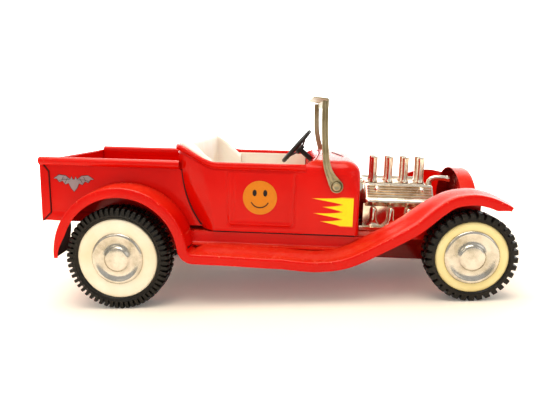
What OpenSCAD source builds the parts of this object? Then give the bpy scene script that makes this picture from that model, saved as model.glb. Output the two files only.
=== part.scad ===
// Pressed-steel hot-rod roadster pickup with a friction motor.
// Most of the body is drawn level and then tipped nose down by the rake, about the rear axle.

/* [Stance] */
// Distance between the axles
wheelbase = 222; // [216:1:226]
// Nose-down angle of the body
rake = 4.1; // [3:0.1:5]
// Rear tyre radius
rear_r = 33.4; // [32:0.1:34]
// Front tyre radius
front_r = 27.8; // [27:0.1:28.4]

/* [Wheels] */
// Radius of the rear wheel disc
rear_disc_r = 26; // [24:0.5:27]
// Radius of the front wheel disc
front_disc_r = 22.2; // [20:0.1:23]
// Hubcap radius
hubcap_r = 16.8; // [15:0.1:17.5]
// Outer face of the tyres, from the middle of the car
tyre_face_y = 71.5; // [70:0.5:73]
// Tyre width
tyre_w = 17; // [14:0.5:17]
// Axle radius
axle_r = 2; // [1.6:0.1:2.4]

/* [Sheet metal] */
// Thickness of the pressed sheet
sheet = 1; // [0.8:0.1:1.2]
// Half width over the fender skirts
fender_y = 71.7; // [70:0.1:72.5]
// Depth of the fender skirts
skirt = 6.4; // [5:0.1:8]

/* [Pickup bed] */
// Half width of the bed
bed_y = 53; // [50:0.5:53]
// Rear face of the bed, behind the rear axle
bed_back = 57; // [54:0.5:60]
// Underside of the bed side, above the rear axle
bed_low = 20; // [19:0.5:22]
// Top of the bed rails
rail_top = 62.8; // [60:0.2:66]

/* [Cab] */
// Half width of the cab
cab_y = 59.3; // [58:0.1:59.6]
// Lower edge of the cab
cab_low = 18.6; // [18:0.1:19.5]
// Top of the door
door_top = 63; // [60:0.5:66]
// Front face of the cowl
cowl_front = 153.3; // [150:0.1:154]

/* [Windshield] */
// How far the frame stands above the rear axle
frame_top = 104; // [98:0.5:108]

/* [Engine] */
// Spacing of the intake stacks
stack_pitch = 11.1; // [10:0.1:11.6]
// Height of the intake stacks
stack_h = 18; // [10:0.5:22]

/* [Friction motor] */
// Teeth on the axle gear and the idler gear
gear_teeth = 30; // [30:1:30]
// Teeth on the two pinions
pinion_teeth = 10; // [10:1:10]
// Gear module
gear_mod = 0.7; // [0.6:0.05:0.7]

/* [Hidden] */
$fn = 48;

red = "#d8220f";
dark_red = "#9c1408";
cream = "#f4ecd2";
chrome = "#cfcdc8";
dull_plate = "#a9a294";
run_gap = 0.05;                  // radial running clearance
middle_x = 97.35;                // centre of the overall length, forward of the rear axle
drop = front_r - rear_r;         // the front axle against the rear axle, standing on the floor
front_x = wheelbase*cos(rake) - drop*sin(rake);   // front axle, in the level body drawing
front_z = wheelbase*sin(rake) + drop*cos(rake);
pan_top = 17.4;                  // upper face of the floor pan
web_top = pan_top - sheet;       // upper face of the chassis channel
chassis_y = 27;
chassis_low = -4;
motor_y = 15;
pivot = [138.2, 50];             // windshield frame's rivet, X and Z
shaft_r = 1.2;
centres = gear_mod*(gear_teeth + pinion_teeth)/2;
wheel_hub = [110.5, 25, 69.2];   // middle of the steering wheel
column_tilt = 130.3;             // steering column's slope

module on_floor() { translate([-middle_x, 0, rear_r]) children(); }
module on_body() { on_floor() rotate([0, rake, 0]) children(); }
module along_x(x0, x1) { translate([x0, 0, 0]) rotate([90, 0, 90]) linear_extrude(x1 - x0) children(); }
module along_y(y0, y1) { translate([0, y1, 0]) rotate([90, 0, 0]) linear_extrude(y1 - y0) children(); }
module other_side() { mirror([0, 1, 0]) children(); }
module rod_y(x, z, r, y0, y1) { translate([x, y0, z]) rotate([-90, 0, 0]) cylinder(r = r, h = y1 - y0); }

function arc(cx, cz, r, a0, a1, n) = [for (i = [0:n]) let(a = a0 + (a1 - a0)*i/n) [cx + r*cos(a), cz + r*sin(a)]];
function lerp(a, b, t) = a + (b - a)*t;
function unit(v) = v/norm(v);
function ease(t) = let(c = max(0, min(1, t))) c*c*(3 - 2*c);
function spline_at(p, i, t) = let(a = p[max(i - 1, 0)], b = p[i], c = p[i + 1], d = p[min(i + 2, len(p) - 1)])
    (2*b + (c - a)*t + (2*a - 5*b + 4*c - d)*t*t + (3*b - a - 3*c + d)*t*t*t)/2;
function spline(p, n) = [for (i = [0:len(p) - 2]) for (k = [0:n - 1]) spline_at(p, i, k/n), p[len(p) - 1]];

// A sheet between two matching grids of points: rows run along the sheet, columns across it
module sheet_patch(outer, inner) {
    rows = len(outer);
    cols = len(outer[0]);
    side = rows*cols;
    function o(i, j) = i*cols + j;
    function u(i, j) = side + i*cols + j;
    points = concat([for (r = outer) for (p = r) p], [for (r = inner) for (p = r) p]);
    faces = concat(
        [for (i = [0:rows - 2]) for (j = [0:cols - 2]) each [
            [o(i, j), o(i, j + 1), o(i + 1, j + 1)], [o(i, j), o(i + 1, j + 1), o(i + 1, j)],
            [u(i, j), u(i + 1, j), u(i + 1, j + 1)], [u(i, j), u(i + 1, j + 1), u(i, j + 1)]]],
        [for (i = [0:rows - 2]) each [
            [o(i, 0), o(i + 1, 0), u(i + 1, 0)], [o(i, 0), u(i + 1, 0), u(i, 0)],
            [o(i + 1, cols - 1), o(i, cols - 1), u(i, cols - 1)],
            [o(i + 1, cols - 1), u(i, cols - 1), u(i + 1, cols - 1)]]],
        [for (j = [0:cols - 2]) each [
            [o(0, j + 1), o(0, j), u(0, j)], [o(0, j + 1), u(0, j), u(0, j + 1)],
            [o(rows - 1, j), o(rows - 1, j + 1), u(rows - 1, j + 1)],
            [o(rows - 1, j), u(rows - 1, j + 1), u(rows - 1, j)]]]);
    polyhedron(points, faces);
}
function grid_normal(g, i, j) = let(
    a = g[min(i + 1, len(g) - 1)][j] - g[max(i - 1, 0)][j],
    b = g[i][min(j + 1, len(g[0]) - 1)] - g[i][max(j - 1, 0)])
    unit(cross(a, b));
function thickened(g, t) = [for (i = [0:len(g) - 1]) [for (j = [0:len(g[0]) - 1]) g[i][j] - t*grid_normal(g, i, j)]];

// Fenders and running boards ------------------------------------------------
arch_x = 2;
arch_z = 2.6;
arch_r = 43.7;
board_z = 5.2;
front_sweep = [[128, 3.6], [146, 7], [168, 18.5], [186, 29.5], [199, 41], [208, 47], [220, 49.2], [230, 47.9],
    [237, 45.4], [243.2, 42.4]];
crease = concat(
    arc(arch_x, arch_z, arch_r, 184.5, 8, 24),
    arc(arch_x + (arch_r + 4)*cos(8), arch_z + (arch_r + 4)*sin(8), 4, 188, 262, 4),
    [[53, board_z], [78, board_z - 0.1], [104, board_z - 0.7]],
    spline(front_sweep, 3));
// The skirt is shallower at the two tips
function skirt_at(i) = skirt*(0.45 + 0.55*ease(min(i, len(crease) - 1 - i)/5));
// Upward normal of the crease line, seen from the side
function crease_up(i) = let(d = unit(crease[min(i + 1, len(crease) - 1)] - crease[max(i - 1, 0)])) [-d[1], d[0]];
// How much higher the inner edge stands than the crease
function crown(x) = 1 + 3.6*ease((x - 47)/8) - 2.9*ease((x - 188)/22);
// How far in the stamping reaches
function inner_y(x) = bed_y + 0.4 + 3.2*ease((x - 44)/6) - 2.4*ease((x - 160)/30);
edge_fall = [[0, 0.35, 0.7, 0.9, 1], [1, 0.86, 0.45, 0.12, -0.08]];   // across the top, then the rise there
function fender_row(i) = let(p = crease[i], up = crease_up(i), yi = inner_y(p[0]), yo = fender_y - 1.6) concat(
    [for (k = [0:4]) let(w = edge_fall[0][k], h = crown(p[0])*edge_fall[1][k])
        [p[0] + up[0]*h, -lerp(yi, yo, w), p[1] + up[1]*h]],
    [for (q = [[0.7, 0.12], [0, 0.35], [0, 0.68], [0, 1]]) let(h = -q[1]*skirt_at(i))
        [p[0] + up[0]*h, -(fender_y - q[0]), p[1] + up[1]*h]]);
fender_grid = [for (i = [0:len(crease) - 1]) fender_row(i)];
module fender_board() {
    color(red) on_body() {
        sheet_patch([for (i = [len(fender_grid) - 1:-1:0]) fender_grid[i]],
            thickened([for (i = [len(fender_grid) - 1:-1:0]) fender_grid[i]], sheet));
        // upright apron between the running board and the cab
        translate([46.5, -(bed_y + 3.9), board_z + 2.8]) cube([110, sheet, pan_top - board_z - 2.8]);
        // splash apron inside the front fender
        along_y(-(bed_y + 1.1), -(bed_y + 0.1)) polygon(concat([[156, web_top], [238, web_top]],
            [for (i = [len(crease) - 2:-1:0]) if (crease[i][0] > 162)
                let(up = crease_up(i)) crease[i] + up*(crown(crease[i][0]) - 0.6)]));
    }
}
module fender_board_right() { fender_board(); }
module fender_board_left() { other_side() fender_board(); }

// Chassis -------------------------------------------------------------------
module chassis_frame() {
    color(dark_red) on_body() difference() {
        union() {
            translate([-36, -chassis_y, web_top - sheet]) cube([274, 2*chassis_y, sheet]);
            for (y = [-chassis_y, chassis_y - sheet])
                translate([-36, y, chassis_low]) cube([274, sheet, web_top - chassis_low - sheet/2]);
            for (x = [-36, 237])
                translate([x, -chassis_y, chassis_low + 6]) cube([sheet, 2*chassis_y, web_top - chassis_low - 6.5]);
        }
        rod_y(0, 0, axle_r + run_gap, -chassis_y - 1, chassis_y + 1);
        rod_y(front_x, front_z, axle_r + 1.4, -chassis_y - 1, chassis_y + 1);
    }
}
module floor_pan() {
    color(red) on_body() difference() {
        translate([0, 0, web_top]) linear_extrude(sheet) polygon([
            [34, -52], [46.5, -52], [46.5, -55.8], [152.6, -55.8], [152.6, -53], [237, -53], [240, -38],
            [240, 38], [237, 53], [152.6, 53], [152.6, 55.8], [46.5, 55.8], [46.5, 52], [34, 52]]);
        for (x = [46, 146]) for (y = [-20, 20]) translate([x, y, 0]) cylinder(r = 1.55, h = 30);
    }
}
module body_screws() {
    color("silver") on_body() for (x = [46, 146]) for (y = [-20, 20]) {
        translate([x, y, pan_top + 0.02]) cylinder(r = 2.6, h = 1);
        translate([x, y, web_top + 0.05]) cylinder(r = 1.5, h = sheet + 0.2);
    }
}

// Pickup bed ----------------------------------------------------------------
module bed_bearers() {
    color(dark_red) on_body() for (x = [-34, 20])
        translate([x, -44, web_top]) cube([8, 88, bed_low - web_top]);
}
module bed_floor() {
    color(red) on_body() translate([-bed_back + sheet + 0.2, -bed_y + sheet, bed_low])
        cube([bed_back + 29.8, 2*(bed_y - sheet), sheet]);
}
rail_r = 2.7;
module bed_side() {
    color(red) on_body() {
        along_y(-bed_y, -bed_y + sheet) polygon([[-bed_back + sheet, bed_low], [33, bed_low],
            [33, rail_top - 1.2], [-bed_back + sheet, rail_top - 1.2]]);
        // rail rolled outwards from the top edge
        along_x(-bed_back + sheet, 34) translate([-(bed_y - sheet + rail_r), rail_top - rail_r]) difference() {
            circle(rail_r);
            circle(rail_r - sheet);
            translate([0.5, -rail_r - 1]) square([rail_r, rail_r + 0.5]);
        }
        // folded hem along the bottom
        translate([-bed_back + 6.4, -bed_y - 0.35, bed_low]) cube([28, 0.8, 5.5]);
    }
}
module bed_side_right() { bed_side(); }
module bed_side_left() { other_side() bed_side(); }
module bed_end_panel() {
    color(red) on_body() {
        translate([-bed_back, -bed_y - 0.2, bed_low - 0.4]) cube([sheet, 2*bed_y + 0.4, 40.4]);
        for (s = [0, 1]) mirror([0, s, 0]) along_y(-bed_y - 1, -bed_y - 0.02) polygon([
            [-bed_back, bed_low - 0.4], [-bed_back + 6.2, bed_low + 5.8], [-bed_back + 5.6, rail_top - 10],
            [-bed_back, rail_top - 4]]);
    }
}
module bed_front_wall() {
    color(red) on_body() translate([31, -bed_y + sheet, bed_low + sheet])
        cube([sheet, 2*(bed_y - sheet), rail_top - bed_low - 3]);
}

// Cab -----------------------------------------------------------------------
cab_back = 34.4;
corner = [54, 45.3];       // where the rear corners start to turn, X and Y
// Plan outline of the cab wall, from the cowl on the right round the back to the left
half_plan = concat([for (x = [118.6, 106, 94, 82, 72, 63]) [x, -cab_y]],
    [for (i = [0:9]) let(a = i*10) [corner[0] - (corner[0] - cab_back)*sin(a), -corner[1] - (cab_y - corner[1])*cos(a)]],
    [[cab_back, -30], [cab_back, -15]]);
plan = concat(half_plan, [[cab_back, 0]],
    [for (i = [len(half_plan) - 1:-1:0]) [half_plan[i][0], -half_plan[i][1]]]);
// Height of the rim, which climbs behind the doors
function rim_z(x) = door_top + 10.2*(1 - ease((x - 34)/28));
// The back of the cab leans: its lower edge stands further forward
// by a hollow curve at the middle, and by a straight line towards the doors
function lean(x, z) = 15.6*(1 - ease((x - cab_back)/40))
    *pow(max(0, 1 - (z - cab_low)/(rim_z(x) - cab_low)), 1 + 2*ease((50 - x)/15.6));
function plan_out(i) = let(d = unit(plan[min(i + 1, len(plan) - 1)] - plan[max(i - 1, 0)])) [-d[1], d[0]];
function wall_row(i, inset, low, rise, n) = let(p = plan[i], top = rim_z(p[0]) + rise, q = p - inset*plan_out(i))
    [for (k = [0:n]) let(z = lerp(low, top, k/n)) [q[0] + lean(p[0], z), q[1], z]];
module wall(inset, thick, low, rise, first, last) {
    n = 8;
    sheet_patch([for (i = [last:-1:first]) wall_row(i, inset, low, rise, n)],
        [for (i = [last:-1:first]) wall_row(i, inset + thick, low, rise, n)]);
}
module cowl_solid(g) {
    r = 10 - g;
    hull() {
        for (y = [-1, 1]) {
            translate([cowl_front - 10, y*(cab_y - 10), 55.6]) sphere(r = r, $fn = 32);
            translate([118 - g*2, y*(cab_y - 10), 55.6]) rotate([0, 90, 0]) cylinder(r = r, h = 1, $fn = 32);
            for (x = [118 - g*2, cowl_front - 3]) translate([x, y*(cab_y - 3), cab_low - 2*g])
                cylinder(r = 3 - g, h = 30, $fn = 24);
        }
        translate([cowl_front - 12, 0, 55.6]) sphere(r = 11.6 - g, $fn = 32);
        translate([118 - g*2, 0, 55.6]) rotate([0, 90, 0]) cylinder(r = 11.6 - g, h = 1, $fn = 32);
    }
}
module door_frame() {
    along_y(-cab_y - 0.5, -cab_y + 0.3) difference() {
        translate([68.4, 22.5]) square([43.8, 37]);
        translate([70.2, 24.3]) square([40.2, 33.4]);
    }
}
module cab_body() {
    color(red) on_body() {
        wall(0, sheet, cab_low, 0, 0, len(plan) - 1);
        difference() {
            cowl_solid(0);
            cowl_solid(sheet);
            rod_y(pivot[0], pivot[1], 2 + run_gap, -70, 70);
            // the rear edge runs forward as it climbs to the middle
            along_y(-70, 70) polygon([[100, 60], [117.8, 62.8], [123, 65], [127.5, 68.4], [127.5, 80], [100, 80]]);
        }
        door_frame();
        other_side() door_frame();
    }
}
module firewall() {
    color(red) on_body() difference() {
        along_x(cowl_front - 2.4, cowl_front - 1.2)
            polygon([[-53, cab_low], [53, cab_low], [53, 52], [-53, 52]]);
        translate([140, 0, 33]) rotate([0, 90, 0]) cylinder(r = 10, h = 30);
    }
}
function dash_half() = concat([[49, 47], [49, 55]], arc(44, 56, 6, 0, 80, 5), [[20, 63.4]]);
module dash_panel() {
    color(red) on_body() difference() {
        along_x(120, 121.2) polygon(concat(dash_half(),
            [for (i = [len(dash_half()) - 1:-1:0]) [-dash_half()[i][0], dash_half()[i][1]]]));
        steering_axis() translate([0, 0, -40]) cylinder(r = 2.6, h = 60);
    }
}
module cockpit_lining() {
    color(cream) on_body() {
        for (s = [0, 1]) mirror([0, s, 0]) translate([66, cab_y - 2.1, pan_top + 0.2])
            cube([51, sheet, door_top - pan_top - 2.4]);
        translate([66, -cab_y + 2.1, pan_top + 0.1]) cube([51, 2*cab_y - 4.2, sheet]);
    }
}
module seat_back_roll() {
    color(cream) on_body() wall(sheet + 0.3, 9, pan_top + 1.6, 2.6, 5, len(plan) - 6);
}
module seat_cushion() {
    color(cream) on_body() translate([61.5, -45, pan_top + 1.6]) hull() {
        cube([29, 90, 12]);
        for (y = [6, 84]) translate([24, y, 14]) sphere(r = 5, $fn = 32);
        translate([3, 5, 12]) cube([4, 80, 5]);
    }
}

// Steering ------------------------------------------------------------------
module steering_axis() { translate(wheel_hub) rotate([0, column_tilt, 0]) children(); }
module steering_column() {
    color("#1c1c1c") on_body() steering_axis() {
        translate([0, 0, 5.4]) cylinder(r = 2, h = 30);
        translate([0, 0, 0.4]) cylinder(r = 1.2, h = 5.4);
    }
}
module steering_wheel() {
    color("#1c1c1c") on_body() steering_axis() {
        rotate_extrude() translate([15, 0]) circle(1.35, $fn = 24);
        for (a = [90, 210, 330]) rotate([0, 0, a]) translate([2.4, -1.3, 0.9]) rotate([0, 4, 0])
            cube([12.2, 2.6, 1.2]);
        difference() {
            translate([0, 0, -1.6]) cylinder(r = 3.4, h = 6.6);
            cylinder(r = 1.2 + run_gap, h = 6);
        }
    }
}

// Windshield ----------------------------------------------------------------
post_y = 60.2;
module windshield_leg() {
    along_y(-post_y - 1.1, -post_y) difference() {
        union() {
            translate(pivot) circle(4.2);
            polygon([[pivot[0] - 3.8, pivot[1] + 1], [pivot[0] + 4, pivot[1] + 1.6], [136.6, 59.5], [134.2, 66.5],
                [132.8, 68], [131.2, frame_top - 1], [127.2, frame_top - 1], [128.6, 67.5], [130.4, 60]]);
        }
        translate(pivot) circle(2 + run_gap);
    }
}
module windshield_frame() {
    color(dull_plate) on_body() {
        windshield_leg();
        other_side() windshield_leg();
        along_y(-post_y - 1.1, post_y + 1.1)
            polygon([[131.2, frame_top - 5.6], [131.1, frame_top - 0.2], [122, frame_top + 1.2],
                [121.9, frame_top + 0.3], [130, frame_top - 1.1], [130.2, frame_top - 5.6]]);
    }
}
module windshield_rivets() {
    color("silver") on_body() for (s = [0, 1]) mirror([0, s, 0]) {
        rod_y(pivot[0], pivot[1], 2, -post_y - 1.2, -cab_y + 2);
        translate([pivot[0], -post_y - 1.2, pivot[1]]) rotate([90, 0, 0]) cylinder(r1 = 2.9, r2 = 2, h = 0.9);
    }
}

// Engine --------------------------------------------------------------------
engine_x = [160, 206];
first_stack = 167.7;
module engine_block() {
    color(chrome) on_body() {
        // a moulded shell, open underneath
        difference() {
            along_x(engine_x[0], engine_x[1]) polygon([[-13, pan_top], [13, pan_top], [16, 26], [25.6, 32.6],
                [18, 42.6], [8, 43.9], [-8, 43.9], [-18, 42.6], [-25.6, 32.6], [-16, 26]]);
            along_x(engine_x[0] + 1.5, engine_x[1] - 1.5) polygon([[-11.4, pan_top - 1], [11.4, pan_top - 1],
                [14.4, 26.8], [23.4, 33], [17.2, 41.2], [7.6, 42.4], [-7.6, 42.4], [-17.2, 41.2], [-23.4, 33],
                [-14.4, 26.8]]);
        }
        translate([engine_x[1] - 0.5, -9, 24]) cube([4.5, 18, 20.6]);
        translate([engine_x[1] + 3, 0, 30]) rotate([0, 90, 0]) cylinder(r = 7, h = 2.6);
        translate([engine_x[1] + 5, 0, 30]) rotate([0, 90, 0]) cylinder(r = 3, h = 2.6);
    }
}
module bell_housing() {
    color(chrome) on_body() difference() {
        translate([cowl_front + 0.1, 0, 34]) rotate([0, 90, 0]) cylinder(r1 = 19, r2 = 16, h = 6.6);
        translate([cowl_front - 1, -30, 0]) cube([10, 60, pan_top]);
    }
}
module valve_cover() {
    color(chrome) on_body() translate([159.6, -33.6, 39.4]) rotate([-40, 0, 0]) {
        translate([0, -1, -4]) cube([45.8, 11, 4.4]);
        difference() {
            cube([45.8, 9, 12.2]);
            for (k = [0:4]) translate([-1, -1, 1.2 + 2.2*k]) cube([48, 1.9, 1.1]);
        }
        for (x = [8, 38]) translate([x, 0.9, 6.4]) rotate([90, 0, 0]) cylinder(r = 1.5, h = 1.8);
    }
}
module valve_cover_right() { valve_cover(); }
module valve_cover_left() { other_side() valve_cover(); }
module intake_manifold() {
    color(chrome) on_body() {
        translate([162, -8.5, 44]) cube([42, 17, 3.4]);
        for (k = [0:3]) for (s = [-1, 1]) translate([first_stack + k*stack_pitch, s*6, 47.3]) cylinder(r = 3, h = 1.7);
    }
}
module intake_stacks() {
    color(chrome) on_body() for (k = [0:3]) for (s = [-1, 1])
        translate([first_stack + k*stack_pitch, s*6, 49]) difference() {
            cylinder(r = 2.3, h = stack_h - 1.5);
            translate([0, 0, stack_h - 8]) cylinder(r = 1.7, h = 8);
        }
}
module exhaust_header() {
    color(chrome) on_body() {
        for (k = [0:3]) translate([165.6 + 12.2*k, -32.5, 0]) {
            translate([0, 0, 20.5]) cylinder(r = 2.7, h = 6.5);
            translate([0, 0, 27]) rotate([-90, 0, 0]) cylinder(r = 2.7, h = 11);
            translate([0, 0, 27]) sphere(r = 2.7, $fn = 32);
        }
        along_x(155.8, 206) polygon([[-37, 17.6], [-29, 17.6], [-28.5, 20], [-30, 21.6], [-35.6, 21.6], [-37.2, 20]]);
    }
}
module exhaust_header_right() { exhaust_header(); }
module exhaust_header_left() { other_side() exhaust_header(); }
neck_r = 1.8;
neck_bend = 4.2;
module water_neck() {
    color(chrome) on_body() translate([208, -3, 44.7]) {
        cylinder(r = 2.8, h = 1.2);
        cylinder(r = neck_r + 0.3, h = 2.6);
        translate([neck_bend, 0, 2.2]) rotate([90, 0, 0]) rotate([0, 0, 90]) rotate_extrude(angle = 90)
            translate([neck_bend, 0]) circle(neck_r);
        translate([neck_bend - 0.6, 0, 2.2 + neck_bend]) rotate([0, 90, 0]) cylinder(r = neck_r + 0.3, h = 12.6);
    }
}

// Grille --------------------------------------------------------------------
shell_x = [225.6, 232.8];
shell_y = 35.5;
function arch(w, rise, low, n) = concat([[w, low]], [for (i = [0:n]) let(a = 180*i/n)
    [w*cos(a), 31.6 + rise*pow(sin(a), 0.92)]], [[-w, low]]);
module grille_shell() {
    color(red) on_body() {
        along_x(shell_x[0], shell_x[1]) difference() {
            polygon(arch(shell_y, 27, pan_top + 0.1, 36));
            polygon(arch(shell_y - sheet, 27 - sheet, pan_top - 1, 36));
        }
        along_x(shell_x[1], shell_x[1] + sheet) difference() {
            polygon(arch(shell_y - 0.8, 26.2, pan_top + 0.1, 36));
            polygon(arch(shell_y - 6, 21, pan_top + 5, 36));
        }
    }
}
module grille_insert() {
    color(chrome) on_body() {
        along_x(shell_x[1] - 1.4, shell_x[1] - 0.4) polygon(arch(shell_y - 2, 25, pan_top + 0.2, 24));
        for (k = [-9:9]) let(y = 3*k, h = 31.6 + 20.4*sqrt(1 - pow(y/(shell_y - 6), 2)) - pan_top - 5)
            translate([shell_x[1] - 0.6, y - 0.5, pan_top + 5]) cube([1.1, 1, h]);
    }
}

// Friction motor -------------------------------------------------------------
// Trapezoid teeth with a little backlash; a tooth stands at angle 0
function gear_points(teeth, phase) = let(r = gear_mod*teeth/2, tip = r + 0.8*gear_mod, root = r - 1.1*gear_mod,
    p = 360/teeth) [for (k = [0:teeth - 1]) each [
        for (q = [[root, -0.30], [r, -0.205], [tip, -0.10], [tip, 0.10], [r, 0.205], [root, 0.30]])
            let(a = phase + p*(k + q[1])) [q[0]*cos(a), q[0]*sin(a)]]];
// Gear on an axis along Y: X forward and Z up in its outline
module gear(teeth, phase, bore, y0, y1) {
    along_y(y0, y1) difference() {
        polygon(gear_points(teeth, phase));
        circle(bore);
    }
}
module motor_side_plates() {
    color("silver") on_body() for (s = [-1, 1]) difference() {
        along_y(s*motor_y - 0.5, s*motor_y + 0.5)
            polygon([[-7, -6], [8, -9], [34, -7], [40, 2], [40, web_top - sheet], [-7, web_top - sheet]]);
        rod_y(0, 0, axle_r + run_gap, -20, 20);
        rod_y(centres, 0, shaft_r + run_gap, -20, 20);
        rod_y(2*centres, 0, shaft_r + run_gap, -20, 20);
        for (q = [[-3.5, 13.2], [37, 12]]) rod_y(q[0], q[1], 1.5, -20, 20);
    }
}
module motor_pillars() {
    color("#b08d3e") on_body() for (q = [[-3.5, 13.2], [37, 12]]) {
        rod_y(q[0], q[1], 1.5, -motor_y - 1.2, motor_y + 1.2);
        rod_y(q[0], q[1], 2, -motor_y + 0.55, motor_y - 0.55);
    }
}
module idler_gear() {
    color("#c9a24a") on_body() translate([centres, 0, 0]) {
        rod_y(0, 0, shaft_r, -motor_y - 1.4, motor_y + 1.4);
        gear(pinion_teeth, 180/pinion_teeth, shaft_r, -12, -7);
        gear(gear_teeth, 0, shaft_r, -6.6, -4);
    }
}
module flywheel() {
    color("#8a8d90") on_body() translate([2*centres, 0, 0]) {
        rod_y(0, 0, shaft_r, -motor_y - 1.4, motor_y + 1.4);
        gear(pinion_teeth, 180/pinion_teeth, shaft_r, -7.6, -3);
        difference() {
            rod_y(0, 0, 12, 0, 9);
            rod_y(0, 0, shaft_r, -1, 10);
            rod_y(0, 0, 9.4, 6.5, 10);
            rod_y(0, 0, 9.4, -1, 1.6);
        }
        rod_y(0, 0, 3, -2.6, 10.4);
    }
}
module axle_gear() { color("#c9a24a") on_body() gear(gear_teeth, 0, axle_r, -11.5, -8); }

// Wheels ----------------------------------------------------------------------
module spun_y() { rotate([90, 0, 0]) rotate_extrude($fn = 96) children(); }
module wheel_disc(r) {
    spun_y() polygon([[axle_r, 55], [4.5, 55], [4.5, 63], [r - 6, 63], [r - 2, 57], [r, 57], [r, 70.2], [r - 1.4, 70.5],
        [hubcap_r - 0.6, 70.1], [hubcap_r - 0.6, 69.4], [axle_r, 69.4]]);
}
module tyre(inner, outer) {
    y0 = tyre_face_y - tyre_w;
    spun_y() polygon(concat([[inner + 0.02, y0 + 1.4], [inner + 1.6, y0 + 0.2]],
        [[outer - 3.2, y0]], arc(outer - 2.4, y0 + 2.4, 2.4, 270, 360, 4),
        arc(outer - 2.4, tyre_face_y - 2.6, 2.4, 0, 80, 4),
        [[inner + 2.2, tyre_face_y], [inner + 0.9, tyre_face_y - 0.5], [inner + 0.02, tyre_face_y - 1.2]]));
}
module hubcap() {
    spun_y() polygon([[0, 69.5], [hubcap_r - 1.2, 69.5], [hubcap_r - 1.2, 70.2], [hubcap_r, 70.4], [hubcap_r - 0.3, 71],
        [hubcap_r - 1.6, 71.4], [hubcap_r - 2.6, 71.1], [12, 70.3], [9.4, 70.6], [8, 72], [7.4, 72.3], [0, 72.3]]);
}
module rear_place() { on_floor() children(); }
module front_place() { on_floor() translate([wheelbase, 0, drop]) children(); }
module rear_axle() { color("silver") rear_place() rod_y(0, 0, axle_r, -69.3, 69.3); }
module front_axle() { color("silver") front_place() rod_y(0, 0, axle_r, -69.3, 69.3); }
module front_bushings() {
    color("#b08d3e") front_place() for (s = [-1, 1]) difference() {
        union() {
            rod_y(0, 0, axle_r + 1.39, s*chassis_y - 2, s*chassis_y + 2);
            rod_y(0, 0, axle_r + 2.6, s*(chassis_y + 1.3) - 0.7, s*(chassis_y + 1.3) + 0.7);
        }
        rod_y(0, 0, axle_r + run_gap, -40, 40);
    }
}
module rear_wheel_right() { color(cream) rear_place() wheel_disc(rear_disc_r); }
module rear_wheel_left() { color(cream) rear_place() other_side() wheel_disc(rear_disc_r); }
module front_wheel_right() { color(cream) front_place() wheel_disc(front_disc_r); }
module front_wheel_left() { color(cream) front_place() other_side() wheel_disc(front_disc_r); }
module rear_tyre_right() { color("#1b1a18") rear_place() tyre(rear_disc_r, rear_r); }
module rear_tyre_left() { color("#1b1a18") rear_place() other_side() tyre(rear_disc_r, rear_r); }
module front_tyre_right() { color("#1b1a18") front_place() tyre(front_disc_r, front_r); }
module front_tyre_left() { color("#1b1a18") front_place() other_side() tyre(front_disc_r, front_r); }
module rear_hubcap_right() { color("silver") rear_place() hubcap(); }
module rear_hubcap_left() { color("silver") rear_place() other_side() hubcap(); }
module front_hubcap_right() { color("silver") front_place() hubcap(); }
module front_hubcap_left() { color("silver") front_place() other_side() hubcap(); }

chassis_frame();
floor_pan();
fender_board_right();
fender_board_left();
bed_bearers();
bed_floor();
bed_side_right();
bed_side_left();
bed_end_panel();
bed_front_wall();
cab_body();
firewall();
dash_panel();
cockpit_lining();
seat_back_roll();
seat_cushion();
steering_column();
steering_wheel();
windshield_frame();
windshield_rivets();
engine_block();
bell_housing();
valve_cover_right();
valve_cover_left();
intake_manifold();
intake_stacks();
exhaust_header_right();
exhaust_header_left();
water_neck();
grille_shell();
grille_insert();
motor_side_plates();
motor_pillars();
idler_gear();
flywheel();
body_screws();
rear_axle();
axle_gear();
rear_wheel_right();
rear_wheel_left();
rear_tyre_right();
rear_tyre_left();
rear_hubcap_right();
rear_hubcap_left();
front_axle();
front_bushings();
front_wheel_right();
front_wheel_left();
front_tyre_right();
front_tyre_left();
front_hubcap_right();
front_hubcap_left();
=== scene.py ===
import bpy
import bmesh
import math
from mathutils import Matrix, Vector


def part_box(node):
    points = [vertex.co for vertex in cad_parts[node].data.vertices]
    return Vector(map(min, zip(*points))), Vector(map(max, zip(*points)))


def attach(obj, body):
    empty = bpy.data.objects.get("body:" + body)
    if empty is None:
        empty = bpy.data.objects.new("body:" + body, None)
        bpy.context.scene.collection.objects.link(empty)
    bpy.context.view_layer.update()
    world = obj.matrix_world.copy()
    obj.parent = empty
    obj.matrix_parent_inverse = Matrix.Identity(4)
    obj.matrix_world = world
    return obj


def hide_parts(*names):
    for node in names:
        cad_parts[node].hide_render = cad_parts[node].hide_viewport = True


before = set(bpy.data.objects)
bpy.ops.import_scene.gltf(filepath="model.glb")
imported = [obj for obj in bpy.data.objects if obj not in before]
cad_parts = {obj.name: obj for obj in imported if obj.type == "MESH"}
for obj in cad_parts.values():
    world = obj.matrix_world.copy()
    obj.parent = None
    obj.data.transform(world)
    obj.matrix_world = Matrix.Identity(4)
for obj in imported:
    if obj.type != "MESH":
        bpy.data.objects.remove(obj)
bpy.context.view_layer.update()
print("Frame loaded")

# The car was drawn level, in millimetres, from the middle of the rear axle; it stands with its tail up
rake = math.radians(4.1)
axleLow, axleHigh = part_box("rear_axle")
hubX, hubZ = (axleLow.x + axleHigh.x)/2, (axleLow.z + axleHigh.z)/2
frontLow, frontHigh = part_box("front_axle")
frontHub = Vector(((frontLow.x + frontHigh.x)/2, 0, (frontLow.z + frontHigh.z)/2))
rearHub = Vector((hubX, 0, hubZ))


def place(p):  # drawing millimetres to frame metres
    x, z = p[0]/1000, p[2]/1000
    return Vector((hubX + x*math.cos(rake) + z*math.sin(rake), p[1]/1000,
                   hubZ - x*math.sin(rake) + z*math.cos(rake)))


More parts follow.
